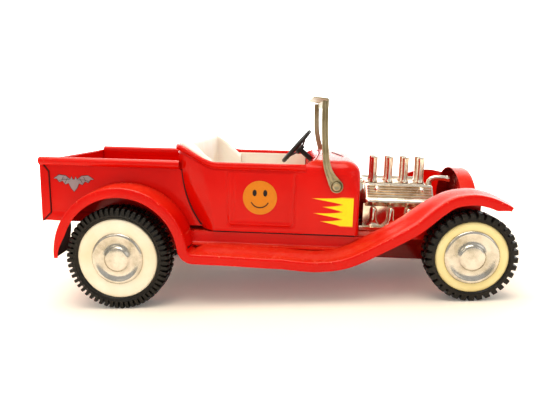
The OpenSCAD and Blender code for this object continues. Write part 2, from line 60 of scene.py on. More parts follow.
def ease(t):
    t = min(max(t, 0), 1)
    return t*t*(3 - 2*t)


def mix(a, b, t):
    return a + (b - a)*t


def steps(a, b, count):
    return [a + (b - a)*i/count for i in range(count + 1)]


def arc(cx, cy, radius, start, end, count):
    return [(cx + radius*math.cos(math.radians(a)), cy + radius*math.sin(math.radians(a)))
            for a in steps(start, end, count)]


def smoothCurve(points, perSpan):  # Catmull-Rom through the points
    out = []
    for i in range(len(points) - 1):
        a, b, c, d = (points[max(i - 1, 0)], points[i], points[i + 1], points[min(i + 2, len(points) - 1)])
        for k in range(perSpan):
            t = k/perSpan
            out.append(tuple((2*q + (r - p)*t + (2*p - 5*q + 4*r - s)*t*t + (3*q - p - 3*r + s)*t**3)/2
                             for p, q, r, s in zip(a, b, c, d)))
    return out + [tuple(points[-1])]


def roundAngles(count):
    return steps(0, 2*math.pi, count)[:-1]


def addObject(name, data):
    item = bpy.data.objects.new(name, data)
    bpy.context.scene.collection.objects.link(item)
    return item


# colour and node helpers
def linear(hexColour):
    parts = [int(hexColour[i:i + 2], 16)/255 for i in (1, 3, 5)]
    return tuple(c/12.92 if c <= 0.04045 else ((c + 0.055)/1.055)**2.4 for c in parts) + (1.0,)


def addNode(tree, kind, links=None, **settings):
    node = tree.nodes.new(kind)
    for name, value in settings.items():
        setattr(node, name, value)
    for socket, source in (links or {}).items():
        if isinstance(source, bpy.types.NodeSocket):
            tree.links.new(source, node.inputs[socket])
        else:
            node.inputs[socket].default_value = source
    return node


def startMaterial(name, slot, **constants):
    material = bpy.data.materials.new(name)
    material.use_nodes = True
    material["slot"] = slot
    tree = material.node_tree
    shader = tree.nodes["Principled BSDF"]
    for socket, value in constants.items():
        shader.inputs[socket.replace("_", " ")].default_value = value
    where = addNode(tree, "ShaderNodeTexCoord").outputs["Object"]
    return material, tree, shader, where


def noise(tree, where, sizeMm, detail=3.0, roughness=0.55):  # a noise whose blobs are sizeMm across
    return addNode(tree, "ShaderNodeTexNoise", {"Vector": where, "Scale": 1000/sizeMm, "Detail": detail,
                   "Roughness": roughness}).outputs["Fac"]


def spread(tree, value, low, high, to=(0.0, 1.0)):
    return addNode(tree, "ShaderNodeMapRange", {"Value": value, "From Min": low, "From Max": high,
                   "To Min": to[0], "To Max": to[1]}, clamp=True).outputs["Result"]


def blendColours(tree, factor, a, b):
    return addNode(tree, "ShaderNodeMix", {"Factor": factor, 6: a, 7: b}, data_type="RGBA").outputs[2]


def sums(tree, operation, a, b):
    return addNode(tree, "ShaderNodeMath", {0: a, 1: b}, operation=operation, use_clamp=True).outputs[0]


def setSurface(tree, shader, colour, roughness, height, depthMm):  # height is the relief, depthMm deep
    bump = addNode(tree, "ShaderNodeBump", {"Height": height, "Distance": depthMm/1000, "Strength": 1.0})
    for source, socket in ((colour, "Base Color"), (roughness, "Roughness"),
                           (bump.outputs["Normal"], "Normal")):
        tree.links.new(source, shader.inputs[socket])


# materials
def pressedEnamel(name, slot, red, deep, dustSheenColour, dustSheenAmount):
    # stoving enamel sprayed on pressed steel: glossy, faint orange peel, dust and a painted sheen of the top
    # light on what faces up, rubbed edges
    material, tree, shader, where = startMaterial(name, slot, IOR=1.5, Specular_IOR_Level=0.22,
                                                  Coat_Weight=0.15, Coat_Roughness=0.08)
    patches = spread(tree, noise(tree, where, 38, 2), 0.3, 0.7)
    paint = blendColours(tree, patches, linear(red), linear(deep))
    facing = addNode(tree, "ShaderNodeNewGeometry").outputs["Normal"]
    up = addNode(tree, "ShaderNodeSeparateXYZ", {"Vector": facing}).outputs["Z"]
    # what faces up turns paler: partly dust, partly a painted sheen standing in for the reflection of the
    # top light
    upDustAndSheen = sums(tree, "MULTIPLY", spread(tree, up, 0.5, 0.98, (0.0, dustSheenAmount)),
                 spread(tree, noise(tree, where, 5, 6, 0.7), 0.35, 0.75, (0.35, 1.0)))
    withPaleLayer = blendColours(tree, upDustAndSheen, paint, linear(dustSheenColour))
    worn = addNode(tree, "ShaderNodeAttribute", attribute_name="wear").outputs["Fac"]
    speckle = spread(tree, noise(tree, where, 1.6, 4, 0.75), 0.6, 0.72)
    rubbed = sums(tree, "MULTIPLY", worn, speckle)
    final = blendColours(tree, rubbed, withPaleLayer, linear("#F08C68"))
    smudge = spread(tree, noise(tree, where, 12, 4), 0.3, 0.75, (0.14, 0.23))
    roughness = sums(tree, "ADD", smudge, sums(tree, "MULTIPLY", upDustAndSheen, 0.35))
    setSurface(tree, shader, final, roughness, noise(tree, where, 2.2, 2), 0.03)
    return material


def mouldedPlastic(name, slot, colour, shade, grainMm, depthMm, roughness, **constants):
    # injection-moulded plastic: even colour with slight ageing, a fine satin grain
    material, tree, shader, where = startMaterial(name, slot, IOR=1.5, **constants)
    aged = spread(tree, noise(tree, where, 24, 4), 0.35, 0.75)
    tint = blendColours(tree, aged, linear(colour), linear(shade))
    satin = spread(tree, noise(tree, where, 7, 3), 0.3, 0.7, (roughness - 0.06, roughness + 0.08))
    setSurface(tree, shader, tint, satin, noise(tree, where, grainMm, 2), depthMm)
    return material


def platedMetal(name, slot, bright, dull, roughness, stainMm, pitMm):
    # bright plating: mirror-like with a warm cast, clouded in patches and finely pitted
    material, tree, shader, where = startMaterial(name, slot, Metallic=1.0)
    cloud = spread(tree, noise(tree, where, stainMm, 5, 0.65), 0.42, 0.72)
    tint = blendColours(tree, cloud, linear(bright), linear(dull))
    smudge = spread(tree, noise(tree, where, stainMm/3, 4), 0.3, 0.8, (roughness, roughness + 0.12))
    clouded = sums(tree, "ADD", smudge, sums(tree, "MULTIPLY", cloud, 0.14))
    setSurface(tree, shader, tint, clouded, noise(tree, where, pitMm, 3), 0.012)
    return material


def brushedSteel(name, slot, bright, dull, roughness):
    # drawn or turned metal: fine lines round the piece, darker where oil has dried
    material, tree, shader, where = startMaterial(name, slot, Metallic=1.0)
    stretched = addNode(tree, "ShaderNodeMapping", {"Vector": where,
                                                    "Scale": (1.0, 14.0, 1.0)}).outputs["Vector"]
    lines = spread(tree, noise(tree, stretched, 3, 5, 0.7), 0.35, 0.7)
    tint = blendColours(tree, lines, linear(bright), linear(dull))
    setSurface(tree, shader, tint, spread(tree, lines, 0, 1, (roughness, roughness + 0.2)), lines, 0.01)
    return material


def mouldedRubber(name, slot):
    # vulcanised rubber: black with a brownish bloom, satin walls, grit dust on the tread
    material, tree, shader, where = startMaterial(name, slot, IOR=1.52, Specular_IOR_Level=0.35)
    bloom = spread(tree, noise(tree, where, 9, 5, 0.65), 0.4, 0.8)
    grit = spread(tree, noise(tree, where, 1.1, 2), 0.55, 0.75, (0.0, 0.5))
    black = blendColours(tree, bloom, linear("#15130F"), linear("#2C261F"))
    withPaleLayer = blendColours(tree, grit, black, linear("#4A4238"))
    setSurface(tree, shader, withPaleLayer, spread(tree, bloom, 0, 1, (0.36, 0.56)), noise(tree, where, 0.9, 2),
               0.03)
    return material


def printedSticker(name, slot, colour, shade):
    # thin printed vinyl: flat ink, a slight gloss, specks where the ink has rubbed
    material, tree, shader, where = startMaterial(name, slot, IOR=1.48)
    rubbed = spread(tree, noise(tree, where, 1.8, 4, 0.7), 0.5, 0.78)
    ink = blendColours(tree, rubbed, linear(colour), linear(shade))
    setSurface(tree, shader, ink, spread(tree, rubbed, 0, 1, (0.34, 0.5)), noise(tree, where, 1.2, 2), 0.006)
    return material


# the third colour is the pale dust and painted sheen laid on what faces up
redEnamel = pressedEnamel("redStovingEnamel", "red_enamel", "#DF1503", "#D21002", "#F2764E", 0.34)
darkEnamel = pressedEnamel("underbodyEnamel", "under_enamel", "#A00E04", "#780A04", "#A8563C", 0.2)
creamPlastic = mouldedPlastic("creamPolystyrene", "cream_plastic", "#FFFBEE", "#F8EED6", 1.4, 0.01, 0.42,
                              Subsurface_Weight=0.06, Subsurface_Radius=(0.002, 0.0016, 0.001))
blackPlastic = mouldedPlastic("blackPolyethylene", "black_plastic", "#191715", "#2A2622", 1.2, 0.02, 0.4)
dullNickel = platedMetal("dullNickelPlate", "dull_nickel", "#BDB294", "#8F8263", 0.3, 16, 0.8)
platedPlastic = platedMetal("vacuumPlatedPlastic", "plated_plastic", "#F2E7D6", "#CDB79C", 0.1, 10, 1.2)
hubMetal = platedMetal("pressedTinCap", "hubcap_metal", "#DAD4C8", "#A9A08C", 0.12, 15, 0.7)
bareSteel = brushedSteel("drawnSteel", "bare_steel", "#B9B7B2", "#75716A", 0.3)
yellowBrass = brushedSteel("stampedBrass", "brass", "#C79E4B", "#8C6A2C", 0.32)
tyreRubber = mouldedRubber("vulcanisedRubber", "tyre_rubber")
whiteWall = mouldedPlastic("whiteWallPlastic", "white_wall", "#FFF6E0", "#F2E2BE", 1.3, 0.012, 0.5)
creamWall = mouldedPlastic("creamWallPlastic", "cream_wall", "#FBEDB4", "#EFD998", 1.3, 0.012, 0.5)
# a near-black red laid in slots, joints and under the fenders: painted shade, standing in for the shadow
# that falls in gaps and hollows
paintedShadeDark = mouldedPlastic("paintedShadeDark", "under_enamel", "#3A0D08", "#1E0A08", 0.8, 0.02, 0.7)
stickerOrange = printedSticker("stickerOrange", "red_enamel", "#DE8600", "#D67A04")
stickerBlack = printedSticker("stickerBlack", "red_enamel", "#1A0F0A", "#2A1A12")
stickerYellow = printedSticker("stickerYellow", "red_enamel", "#FFE60A", "#FBD80E")
stickerFlame = printedSticker("stickerFlame", "red_enamel", "#F5901A", "#EE7C14")
stickerGrey = printedSticker("stickerGrey", "red_enamel", "#A3979B", "#93868A")
print("Materials ready")


# mesh helpers
def grid(rows, closeAround=False, closeAlong=False, capEnds=False):
    # faces between rows of points; each row runs across, rows follow one another along
    points = [p for row in rows for p in row]
    across, along = len(rows[0]), len(rows)
    faces = []
    for i in range(along if closeAlong else along - 1):
        for j in range(across if closeAround else across - 1):
            n, m = (i + 1) % along, (j + 1) % across
            faces.append((i*across + j, i*across + m, n*across + m, n*across + j))
    if capEnds:
        faces.append(tuple(range(across))[::-1])
        faces.append(tuple((along - 1)*across + j for j in range(across)))
    return points, faces


def join(*parts):
    points, faces = [], []
    for partPoints, partFaces in parts:
        faces += [tuple(i + len(points) for i in face) for face in partFaces]
        points += list(partPoints)
    return points, faces


def otherSide(part):
    return [(p[0], -p[1], p[2]) for p in part[0]], [face[::-1] for face in part[1]]


bothSides = (("Right", lambda part: part), ("Left", otherSide))  # parts are drawn on the right side


def slab(outline, low, high, toPoint):  # a flat shape with thickness; toPoint sets its plane
    count = len(outline)
    points = [toPoint(a, b, low) for a, b in outline] + [toPoint(a, b, high) for a, b in outline]
    faces = [tuple(range(count))[::-1], tuple(range(count, 2*count))]
    faces += [(i, (i + 1) % count, count + (i + 1) % count, count + i) for i in range(count)]
    return points, faces


def plankY(outline, low, high):  # a flat plate facing sideways
    return slab(outline, low, high, lambda x, z, y: (x, y, z))


def revolve(profile, count, toPoint):  # turns (radius, height) pairs; toPoint sets the axis
    return grid([[toPoint(r*math.cos(a), r*math.sin(a), h) for a in roundAngles(count)] for r, h in profile],
                closeAround=True)


def tube(path, radii, around=20):  # a closed round bar along a path
    rows = []
    for i, p in enumerate(path):
        ahead = (Vector(path[min(i + 1, len(path) - 1)]) - Vector(path[max(i - 1, 0)])).normalized()
        side = ahead.cross(Vector((0, 1, 0)) if abs(ahead.y) < 0.9 else Vector((1, 0, 0))).normalized()
        over = ahead.cross(side)
        r = radii[i] if isinstance(radii, (list, tuple)) else radii
        rows.append([tuple(Vector(p) + r*(math.cos(a)*side + math.sin(a)*over))
                     for a in roundAngles(around)])
    return grid(rows, closeAround=True, capEnds=True)


def breakEdges(piece, widthMm, degrees):
    edge = piece.modifiers.new("brokenEdge", "BEVEL")
    edge.width, edge.segments = widthMm/1000, 2
    edge.limit_method, edge.angle_limit = "ANGLE", math.radians(degrees)


def makePiece(name, part, material, body="car_body", replaces=(), thick=None, bevel=None, smooth=40,
              level=True,
              wear=None, tidy=True, flipCheck=True, inside=None):
    points, faces = part
    mesh = bpy.data.meshes.new(name)
    mesh.from_pydata([place(p) for p in points] if level else [Vector(p) for p in points], [], faces)
    if wear:
        mesh.attributes.new("wear", "FLOAT", "POINT").data.foreach_set("value", wear)
    work = bmesh.new()
    work.from_mesh(mesh)
    if tidy:
        bmesh.ops.remove_doubles(work, verts=work.verts, dist=2e-6)
        bmesh.ops.dissolve_degenerate(work, edges=work.edges, dist=1e-7)
    if flipCheck:
        bmesh.ops.recalc_face_normals(work, faces=work.faces)
    work.to_mesh(mesh)
    work.free()
    for polygon in mesh.polygons:
        polygon.use_smooth = True
    piece = addObject(name, mesh)
    mesh.materials.append(material)
    if thick:
        solid = piece.modifiers.new("sheetThickness", "SOLIDIFY")
        solid.thickness, solid.offset = thick/1000, -1
        if inside:  # the back of the sheet takes a second material: underbody paint on the grille shell, painted shade under the fenders
            mesh.materials.append(inside)
            solid.material_offset = 1
    if bevel:
        breakEdges(piece, bevel, 35)
    mesh.set_sharp_from_angle(angle=math.radians(smooth))
    if thick:  # the cut edge of a sheet is crisp
        work = bmesh.new()
        work.from_mesh(mesh)
        for edge in work.edges:
            edge.smooth = edge.smooth and not edge.is_boundary
        work.to_mesh(mesh)
        work.free()
    finishPiece(piece, body, replaces)
    return piece


def finishPiece(piece, body, replaces=()):
    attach(piece, body)
    if replaces:
        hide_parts(*replaces)


# fenders and running boards: one lofted stamping on each side
fenders = {"edgeY": 71.7, "skirt": 6.4, "boardZ": 5.2, "archCentre": (2, 2.6), "archRadius": 43.7,
           "sheet": 0.9,
           "frontSweep": [(128, 3.6), (146, 7), (168, 18.5), (186, 29.5), (199, 41), (208, 47), (220, 49.2),
                          (230, 47.9),
                          (237, 45.4), (243.2, 42.4)]}


def fenderCrease():
    ax, az = fenders["archCentre"]
    r, bz = fenders["archRadius"], fenders["boardZ"]
    turn = math.radians(8)
    return (arc(ax, az, r, 184.5, 8, 70)
            + arc(ax + (r + 4)*math.cos(turn), az + (r + 4)*math.sin(turn), 4, 188, 262, 9)
            + [(x, bz - 0.7*ease((x - 60)/44)) for x in steps(53, 106, 26)]
            + smoothCurve([(112, 4.0)] + fenders["frontSweep"], 8))


def fenderParts():
    crease = fenderCrease()
    rows, wear = [], []
    for i, (x, z) in enumerate(crease):
        a, b = crease[min(i + 1, len(crease) - 1)], crease[max(i - 1, 0)]
        ahead = Vector((a[0] - b[0], a[1] - b[1])).normalized()
        up = (-ahead.y, ahead.x)
        crown = 1 + 3.6*ease((x - 47)/8) - 2.9*ease((x - 188)/22)
        innerY = 53.4 + 3.2*ease((x - 44)/6) - 2.4*ease((x - 160)/30) - 6.5*ease((-37 - x)/4)
        outerY = fenders["edgeY"] - 1.7
        skirt = fenders["skirt"]*(0.45 + 0.55*ease(min(i, len(crease) - 1 - i)/10))
        row = []
        for w in steps(0, 1, 12):
            rise = crown*(1 - ease(w*0.62 + 0.38*w*w) + 0.04*math.sin(math.pi*w))
            row.append((x + up[0]*rise, -mix(innerY, outerY, w), z + up[1]*rise))
            wear.append(0.95*ease((w - 0.86)/0.14) + 0.25*ease(1 - w*6))
        for out, drop, rub in ((-1.0, 0.12, 1), (-0.42, 0.42, 1), (-0.1, 0.95, 0.8), (0, 1.7, 0.3),
                               (0, 3, 0), (0, 4.6, 0),
                               (-0.05, 5.8, 0.2), (-0.3, 6.4, 0.9)):
            h = -drop*skirt/fenders["skirt"]
            row.append((x + up[0]*h, -(fenders["edgeY"] + out), z + up[1]*h))
            wear.append(rub)
        rows.append(row)
    return rows, wear


def apronParts():
    # the upright between board and cab, with a rounded root, and the splash apron beside the front wheel
    upright = [[(x, -56.5, 17.2), (x, -56.7, 12), (x, -56.9, 10.9), (x, -57.5, 10.0), (x, -58.6, 9.5),
                (x, -60.2, 9.2)]
               for x in steps(42, 158, 42)]
    crease = [c for c in fenderCrease() if 156 < c[0] < 231]
    splash = []
    for x, z in crease:
        topZ = z + 0.6 + 2.9*(1 - ease((x - 188)/22))
        splash.append([(x, -53.7, mix(topZ, 16.4, t)) for t in steps(0, 1, 5)])
    return grid(upright), grid(splash)


fenderRows, fenderWear = fenderParts()
fenderSheet = grid(fenderRows)
uprightSheet, splashSheet = apronParts()
for side, turned in bothSides:
    name = "fender" + side
    # the underside of each fender takes the dark painted shade of the wheel arch
    makePiece(name, turned(fenderSheet), redEnamel, replaces=(f"fender_board_{side.lower()}",),
              thick=fenders["sheet"], wear=fenderWear,
              smooth=50, tidy=False, inside=paintedShadeDark)
    makePiece(name + "Apron", turned(uprightSheet), redEnamel, thick=0.8, smooth=60, flipCheck=False)
    makePiece(name + "Splash", turned(splashSheet), redEnamel, thick=0.8, smooth=60, flipCheck=False)
print("Fenders built")

# cab
cab = {"halfWidth": 59.3, "low": 18.6, "doorTop": 63, "back": 34.4, "corner": (54, 45.3),
       "frontJoin": 118.6, "sheet": 0.9,
       "door": (68.4, 22.3, 112.2, 59.6), "doorCorner": 3.2}


def rimZ(x):
    return cab["doorTop"] + 10.2*(1 - ease((x - 34)/28))


def leanX(x, z):
    share = max(0, 1 - (z - cab["low"])/(rimZ(x) - cab["low"]))
    return 15.6*(1 - ease((x - cab["back"])/40))*share**(1 + 2*ease((50 - x)/15.6))


def cabPlan(inset=0.0, sideStep=0.8):
    # the wall seen from above, right side, back, left side: each point with its outward normal and its x
    cx, cy = cab["corner"]
    w, back = cab["halfWidth"], cab["back"]
    count = int((cab["frontJoin"] - cx)/sideStep)
    right = [((x, -w), (0, -1)) for x in steps(cab["frontJoin"], cx + 0.6, count)]
    for a in [math.radians(v) for v in steps(0, 90, 26)]:
        normal = Vector((-math.sin(a)*(w - cy), -math.cos(a)*(cx - back))).normalized()
        right.append(((cx - (cx - back)*math.sin(a), -cy - (w - cy)*math.cos(a)), (normal.x, normal.y)))
    right += [((back, y), (-1, 0)) for y in (-40, -34, -28, -22, -16, -10, -5)]
    middle = [((back, 0), (-1, 0))]
    left = [((p[0], -p[1]), (n[0], -n[1])) for p, n in reversed(right)]
    return [((p[0] - n[0]*inset, p[1] - n[1]*inset), n, p[0]) for p, n in right + middle + left]


def doorRelief(x, z):
    # how far the pressed door panel stands out of the wall: a raised panel with a sunk line round it
    x0, z0, x1, z1 = cab["door"]
    r = cab["doorCorner"]
    dx, dz = max(x0 + r - x, x - (x1 - r), 0), max(z0 + r - z, z - (z1 - r), 0)
    inside = r - math.hypot(dx, dz)
    if dx == 0 and dz == 0:
        inside = min(x - x0, x1 - x, z - z0, z1 - z)
    groove = -0.55*math.exp(-((inside - 0.1)/0.55)**2)
    ridge = 0.4*math.exp(-((inside - 1.5)/0.8)**2)
    post = 0.28*math.exp(-((x - 72.9)/0.5)**2)*ease((z - z0 - 3)/2)*ease((z1 - z - 3)/2)
    return groove + ridge + post + 0.12*ease(inside/1.5)


rimProfile = [(0, -5.9), (0, -5.2), (-0.4, -4.8), (-0.6, -4.4), (-0.45, -4.0), (0.05, -3.7), (0.9, -3.3),
              (1.5, -2.6),
              (1.75, -1.7), (1.55, -0.8), (1.0, -0.2), (0.15, 0.1), (-0.7, -0.2), (-1.2, -0.8),
              (-1.35, -1.6), (-1.3, -2.4)]


def cabWall():
    rows, wear = [], []
    for (px, py), (nx, ny), x0 in cabPlan():
        top = rimZ(x0)
        blend = ease((x0 - 104)/14)  # the roll dies into the cowl
        row = []
        for k in range(62):
            z = mix(cab["low"], top - 6.1, k/61)
            out = doorRelief(px, z) if abs(py) > 59 else 0
            out += 0.25*(1 - ease((z - cab["low"])/0.8))
            row.append((px + nx*out + leanX(x0, z), py + ny*out, z))
            wear.append(0.6*(1 - ease((z - cab["low"])/0.8)))
        for out, dz in rimProfile:
            out = mix(out, min(out, 0.1), blend*0.7)
            z = top + dz
            row.append((px + nx*out + leanX(x0, z), py + ny*out, z))
            wear.append(0.75 if -1.6 < dz and out > -0.5 else 0.1)
        rows.append(row)
    return rows, wear


cowl = {"back": 118.55, "front": 153.3, "shoulder": 10, "shoulderZ": 55.6, "crown": 1.9, "topRound": 10,
        "sideRound": 3}


def cowlBack(z):  # the rear edge runs forward as it climbs to the middle
    return cowl["back"] + 9.4*min(max((z - 62.8)/4.5, 0), 1)**0.9


def dashPanel():
    # sloped sheet under the rear edge of the cowl
    w, r = cab["halfWidth"], cowl["shoulder"]
    rows = []
    for y in steps(-57.8, 57.8, 60):
        over = max(abs(y) - (w - r), 0)
        crown = cowl["crown"]*(1 - (y/(w - r))**2) if over == 0 else 0
        top = cowl["shoulderZ"] + math.sqrt(r*r - over*over) + crown - 0.7
        rows.append([(mix(119.2, cowlBack(top) + 0.4, ease(t*0.5)*2), y, mix(45, top, t))
                     for t in steps(0, 1, 10)])
    return grid(rows)


def cowlSection():
    # outline of the cowl seen from the front, right foot over the top to the left foot, with outward normals
    w, r, zs = cab["halfWidth"], cowl["shoulder"], cowl["shoulderZ"]
    half = [((-w, z), (-1, 0)) for z in steps(cab["low"], zs, 44)]
    for a in steps(180, 96, 14)[1:]:
        c, s = math.cos(math.radians(a)), math.sin(math.radians(a))
        half.append(((-(w - r) + r*c, zs + r*s), (c, s)))
    for y in steps(-(w - r) - 0.2, 0, 16)[1:]:
        rise = cowl["crown"]*(1 - (y/(w - r))**2)
        normal = Vector((2*cowl["crown"]*y/(w - r)**2, 1)).normalized()
        half.append(((y, zs + r + rise), (normal.x, normal.y)))
    return half + [((-p[0], p[1]), (-n[0], n[1])) for p, n in reversed(half[:-1])]


def cowlSheet():
    big, small = cowl["topRound"], cowl["sideRound"]
    bend = cowl["front"] - big  # the top starts to turn down here
    stations = steps(cowl["back"], bend, 24) + [bend + big*math.sin(math.radians(a))
                                                for a in steps(6, 90, 13)]
    section = cowlSection()
    rows, wear = [], []
    for x in stations:
        row = []
        for (y, z), (ny, nz) in section:
            topGap = big - math.sqrt(max(big**2 - max(x - bend, 0)**2, 0))
            sideGap = small - math.sqrt(max(small**2 - max(x - (cowl["front"] - small), 0)**2, 0))
            gap = mix(sideGap, topGap*0.72, ease((z - 44)/14))
            along = mix(cowlBack(z), bend, (x - cowl["back"])/(bend - cowl["back"])) if x < bend else x
            row.append((along, y - ny*gap, z - nz*gap))
            wear.append(0.5*ease((x - 146)/4)*ease((z - 50)/8)*(1 - ease((x - 152)/1.2))
                        + (0.5 if x < 118.5 and z > 60 else 0))
        rows.append(row)
    last = rows[-1]
    for shrink in (0.82, 0.55, 0.25, 0.0):
        rows.append([(cowl["front"], p[1]*shrink, 42 + (p[2] - 42)*shrink) for p in last])
        wear += [0.0]*len(last)
    return rows, wear


wallRows, wallWear = cabWall()
makePiece("cabWall", grid(wallRows), redEnamel, replaces=("cab_body",), thick=cab["sheet"], wear=wallWear,
          smooth=60, tidy=False)
cowlRows, cowlWear = cowlSheet()
makePiece("cabCowl", grid(cowlRows), redEnamel, replaces=("cab_body",), thick=0.8, wear=cowlWear, smooth=50,
          tidy=False)

makePiece("dashSheet", dashPanel(), redEnamel, replaces=("dash_panel",), thick=0.8, smooth=60)

# a short slot pressed in the cowl top, and the joint along the foot of the cab: each drawn as a dark tube of
# painted shade where the gap falls into shadow
slotPath = [(136.5 + 7*t, -9 - 25*t, 67.42 - 0.32*t - 0.6*t*t) for t in steps(0, 1, 12)]
makePiece("cowlSlot", tube(slotPath, [0.15] + [0.5]*11 + [0.15], 10), paintedShadeDark)
footPath = [(x, -cab["halfWidth"] + 0.6, 18.1) for x in steps(60, 151, 20)]
for name, path in (("cabFootRight", footPath), ("cabFootLeft", [(x, -y, z) for x, y, z in footPath])):
    makePiece(name, tube(path, 0.45, 8), paintedShadeDark)
print("Cab built")

# cream bench: the back follows the cab rim, with a rounded top
bench = {"inset": 1.5, "depth": 8.6, "rise": 2.7, "round": 4.1, "low": 19}


def benchBack():
    rows = []
    plan = [entry for entry in cabPlan(bench["inset"], 1.6) if entry[2] < 63.4]
    for (px, py), (nx, ny), x0 in plan:
        top = rimZ(x0) + bench["rise"]*(1 - ease((x0 - 48)/14)) - 3.6*ease((x0 - 55)/9)
        r = bench["round"]
        profile = [(0, bench["low"]), (0, mix(bench["low"], top, 0.5)), (0, top - r - 2)]
        profile += [(r - 0.2 + r*math.cos(math.radians(a)), top - r + r*math.sin(math.radians(a)))
                    for a in steps(180, 0, 14)]
        profile = [(max(d, 0), z) for d, z in profile]
        belly = bench["depth"]
        profile += [(belly, mix(top - r, bench["low"], t)) for t in (0.12, 0.3, 0.5, 0.7, 0.9, 1.0)]
        rows.append([(px - nx*d + leanX(x0, min(z, top - 2)), py - ny*d, z) for d, z in profile])
    return grid(rows, closeAround=True, capEnds=True)


def benchCushion():
    # a moulded cushion, crowned, with sunk flutes running fore and aft
    rows = []
    for y in steps(-44.5, 44.5, 96):
        edge = ease((44.5 - abs(y))/5)
        flute = 0.55*abs(math.cos(math.pi*y/12.7))**0.35
        top = 31.4 + 5.2*edge + flute*edge
        row = [(62.5, y, 19.2), (61.9, y, mix(19.2, top, 0.5)), (62.0, y, top - 2.2), (62.8, y, top - 0.6),
               (64.5, y, top + 0.1)]
        row += [(x, y, top + 0.5*math.sin(math.pi*(x - 64)/22)) for x in steps(67, 84, 7)]
        row += [(87.4, y, top - 0.7), (89.4, y, top - 2.6), (90.2, y, top - 6),
                (90.1, y, mix(19.2, top, 0.35)), (89.8, y, 19.2)]
        rows.append(row)
    return grid(rows, closeAround=True, capEnds=True)


makePiece("benchBack", benchBack(), creamPlastic, replaces=("seat_back_roll",), smooth=50)
makePiece("benchCushion", benchCushion(), creamPlastic, replaces=("seat_cushion",), smooth=50)
liningSide = [(60.5, 17.8), (117.6, 17.8), (117.6, 60.6), (60.5, 60.6)]
lining = plankY(liningSide, -57.9, -57.1)
liningFloor = slab([(60.5, -57.1), (117.6, -57.1), (117.6, 57.1), (60.5, 57.1)], 17.6, 18.5, lambda x, y,
                   z: (x, y, z))
makePiece("cabLining", join(lining, otherSide(lining), liningFloor), creamPlastic,
          replaces=("cockpit_lining",), bevel=0.25)
print("Bench built")

# pickup bed
bed = {"back": -56, "front": 34, "low": 20, "railTop": 62.8, "railRadius": 2.7, "wallY": 53, "sheet": 0.9}


def bedSide():
    # flat wall up to an open rolled rail; the wall runs on to meet the sloping back of the cab
    cy = -(bed["wallY"] - 1 + bed["railRadius"])
    cz = bed["railTop"] - bed["railRadius"]
    roll = arc(cy, cz, bed["railRadius"], 4, 286, 22)
    railRows, wear = [], []
    for x in steps(bed["back"], bed["front"] + 3, 30):
        railRows.append([(x, -52.0, 56.5), (x, -52.0, 58.4)] + [(x, y, z) for y, z in roll])
        wear += [0.0, 0.0] + [0.05 + 0.25*math.exp(-((i - 12)/3)**2) for i in range(len(roll))]
    wallRows = []
    for z in steps(bed["low"], 61, 26):
        frontX = 37.9 + leanX(37.6, z) if z < 57.5 else 34.0
        wallRows.append([(mix(bed["back"], frontX, t), -bed["wallY"], z) for t in steps(0, 1, 44)])
    hem = []
    for x in steps(-50, -20, 14):
        hem.append([(x, -53.02, 26.6), (x, -53.3, 26.35), (x, -53.45, 25.9), (x, -53.45, 21),
                    (x, -53.35, 20.1), (x, -53.0, 19.8)])
    return grid(railRows), wear, grid(wallRows[::-1]), grid(hem)


railSheet, railWear, wallSheet, hemSheet = bedSide()
wrapShape = [(-57, 19.8), (-51.0, 25.6), (-51.3, 52.9), (-57, 59.8)]
for side, turned in bothSides:
    node = f"bed_side_{side.lower()}"
    makePiece("bedRail" + side, turned(railSheet), redEnamel, replaces=(node,), thick=0.7, wear=railWear,
              smooth=55, tidy=False)
    makePiece("bedWall" + side, turned(wallSheet), redEnamel, replaces=(node,), thick=bed["sheet"],
              smooth=40)
    makePiece("bedHem" + side, turned(hemSheet), redEnamel, thick=0.3, smooth=50)
    makePiece("bedWrap" + side, turned(plankY(wrapShape, -53.75, -53.0)), redEnamel,
              replaces=("bed_end_panel",), bevel=0.3)
    # dark tubes in the joins round the tailgate wrap and along the back of the cab: painted shade of the
    # gaps between the sheets
    seam = [(-56.6, -53.3, 60.2), (-51.0, -53.3, 53.1), (-50.7, -53.3, 25.5), (-56.6, -53.3, 19.6)]
    cabSeam = [(37.7 + leanX(37.6, z), -53.1, z) for z in steps(21, 57, 24)]
    makePiece("cabSeam" + side, turned(tube(cabSeam, [0.75 - 0.4*i/24 for i in range(25)], 8)), paintedShadeDark)
    seamPath = [tuple(mix(a[k], b[k], t) for k in range(3)) for a, b in zip(seam, seam[1:])
                for t in (0, 0.25, 0.5, 0.75)] + [seam[-1]]
    makePiece("bedSeam" + side, turned(tube(seamPath, 0.36, 8)), paintedShadeDark)


def endPanel():
    # a tailgate plate with a folded top edge and a pressed border
    rows = []
    for y in steps(-53.6, 53.6, 90):
        row = [(-55.9, y, 59.2), (-56.2, y, 59.9), (-56.8, y, 60.05), (-57.0, y, 59.5)]
        for z in steps(58.8, 20.2, 44):
            inside = min(z - 26, 54 - z, 47 - abs(y))
            row.append((-57.0 + 0.55*ease(inside/1.4 + 0.2), y, z))
        row += [(-56.7, y, 19.7), (-56.0, y, 19.6)]
        rows.append(row)
    return grid(rows[::-1])


makePiece("bedTailgate", endPanel(), redEnamel, replaces=("bed_end_panel",), thick=0.7, smooth=50,
          flipCheck=False)
print("Bed built")

# windshield frame: two ribbed legs and a folded header, no glass
windshield = {"legY": 60.2, "spine": [(129.2, 102.6, 2.0), (129.4, 90, 2.0), (130.0, 78, 2.05),
                                      (130.8, 68.2, 2.15), (132.1, 61.5, 2.4),
              (134.4, 56.2, 2.9), (137.0, 51.8, 3.9)], "eye": (138.2, 50), "bend": 3.4}


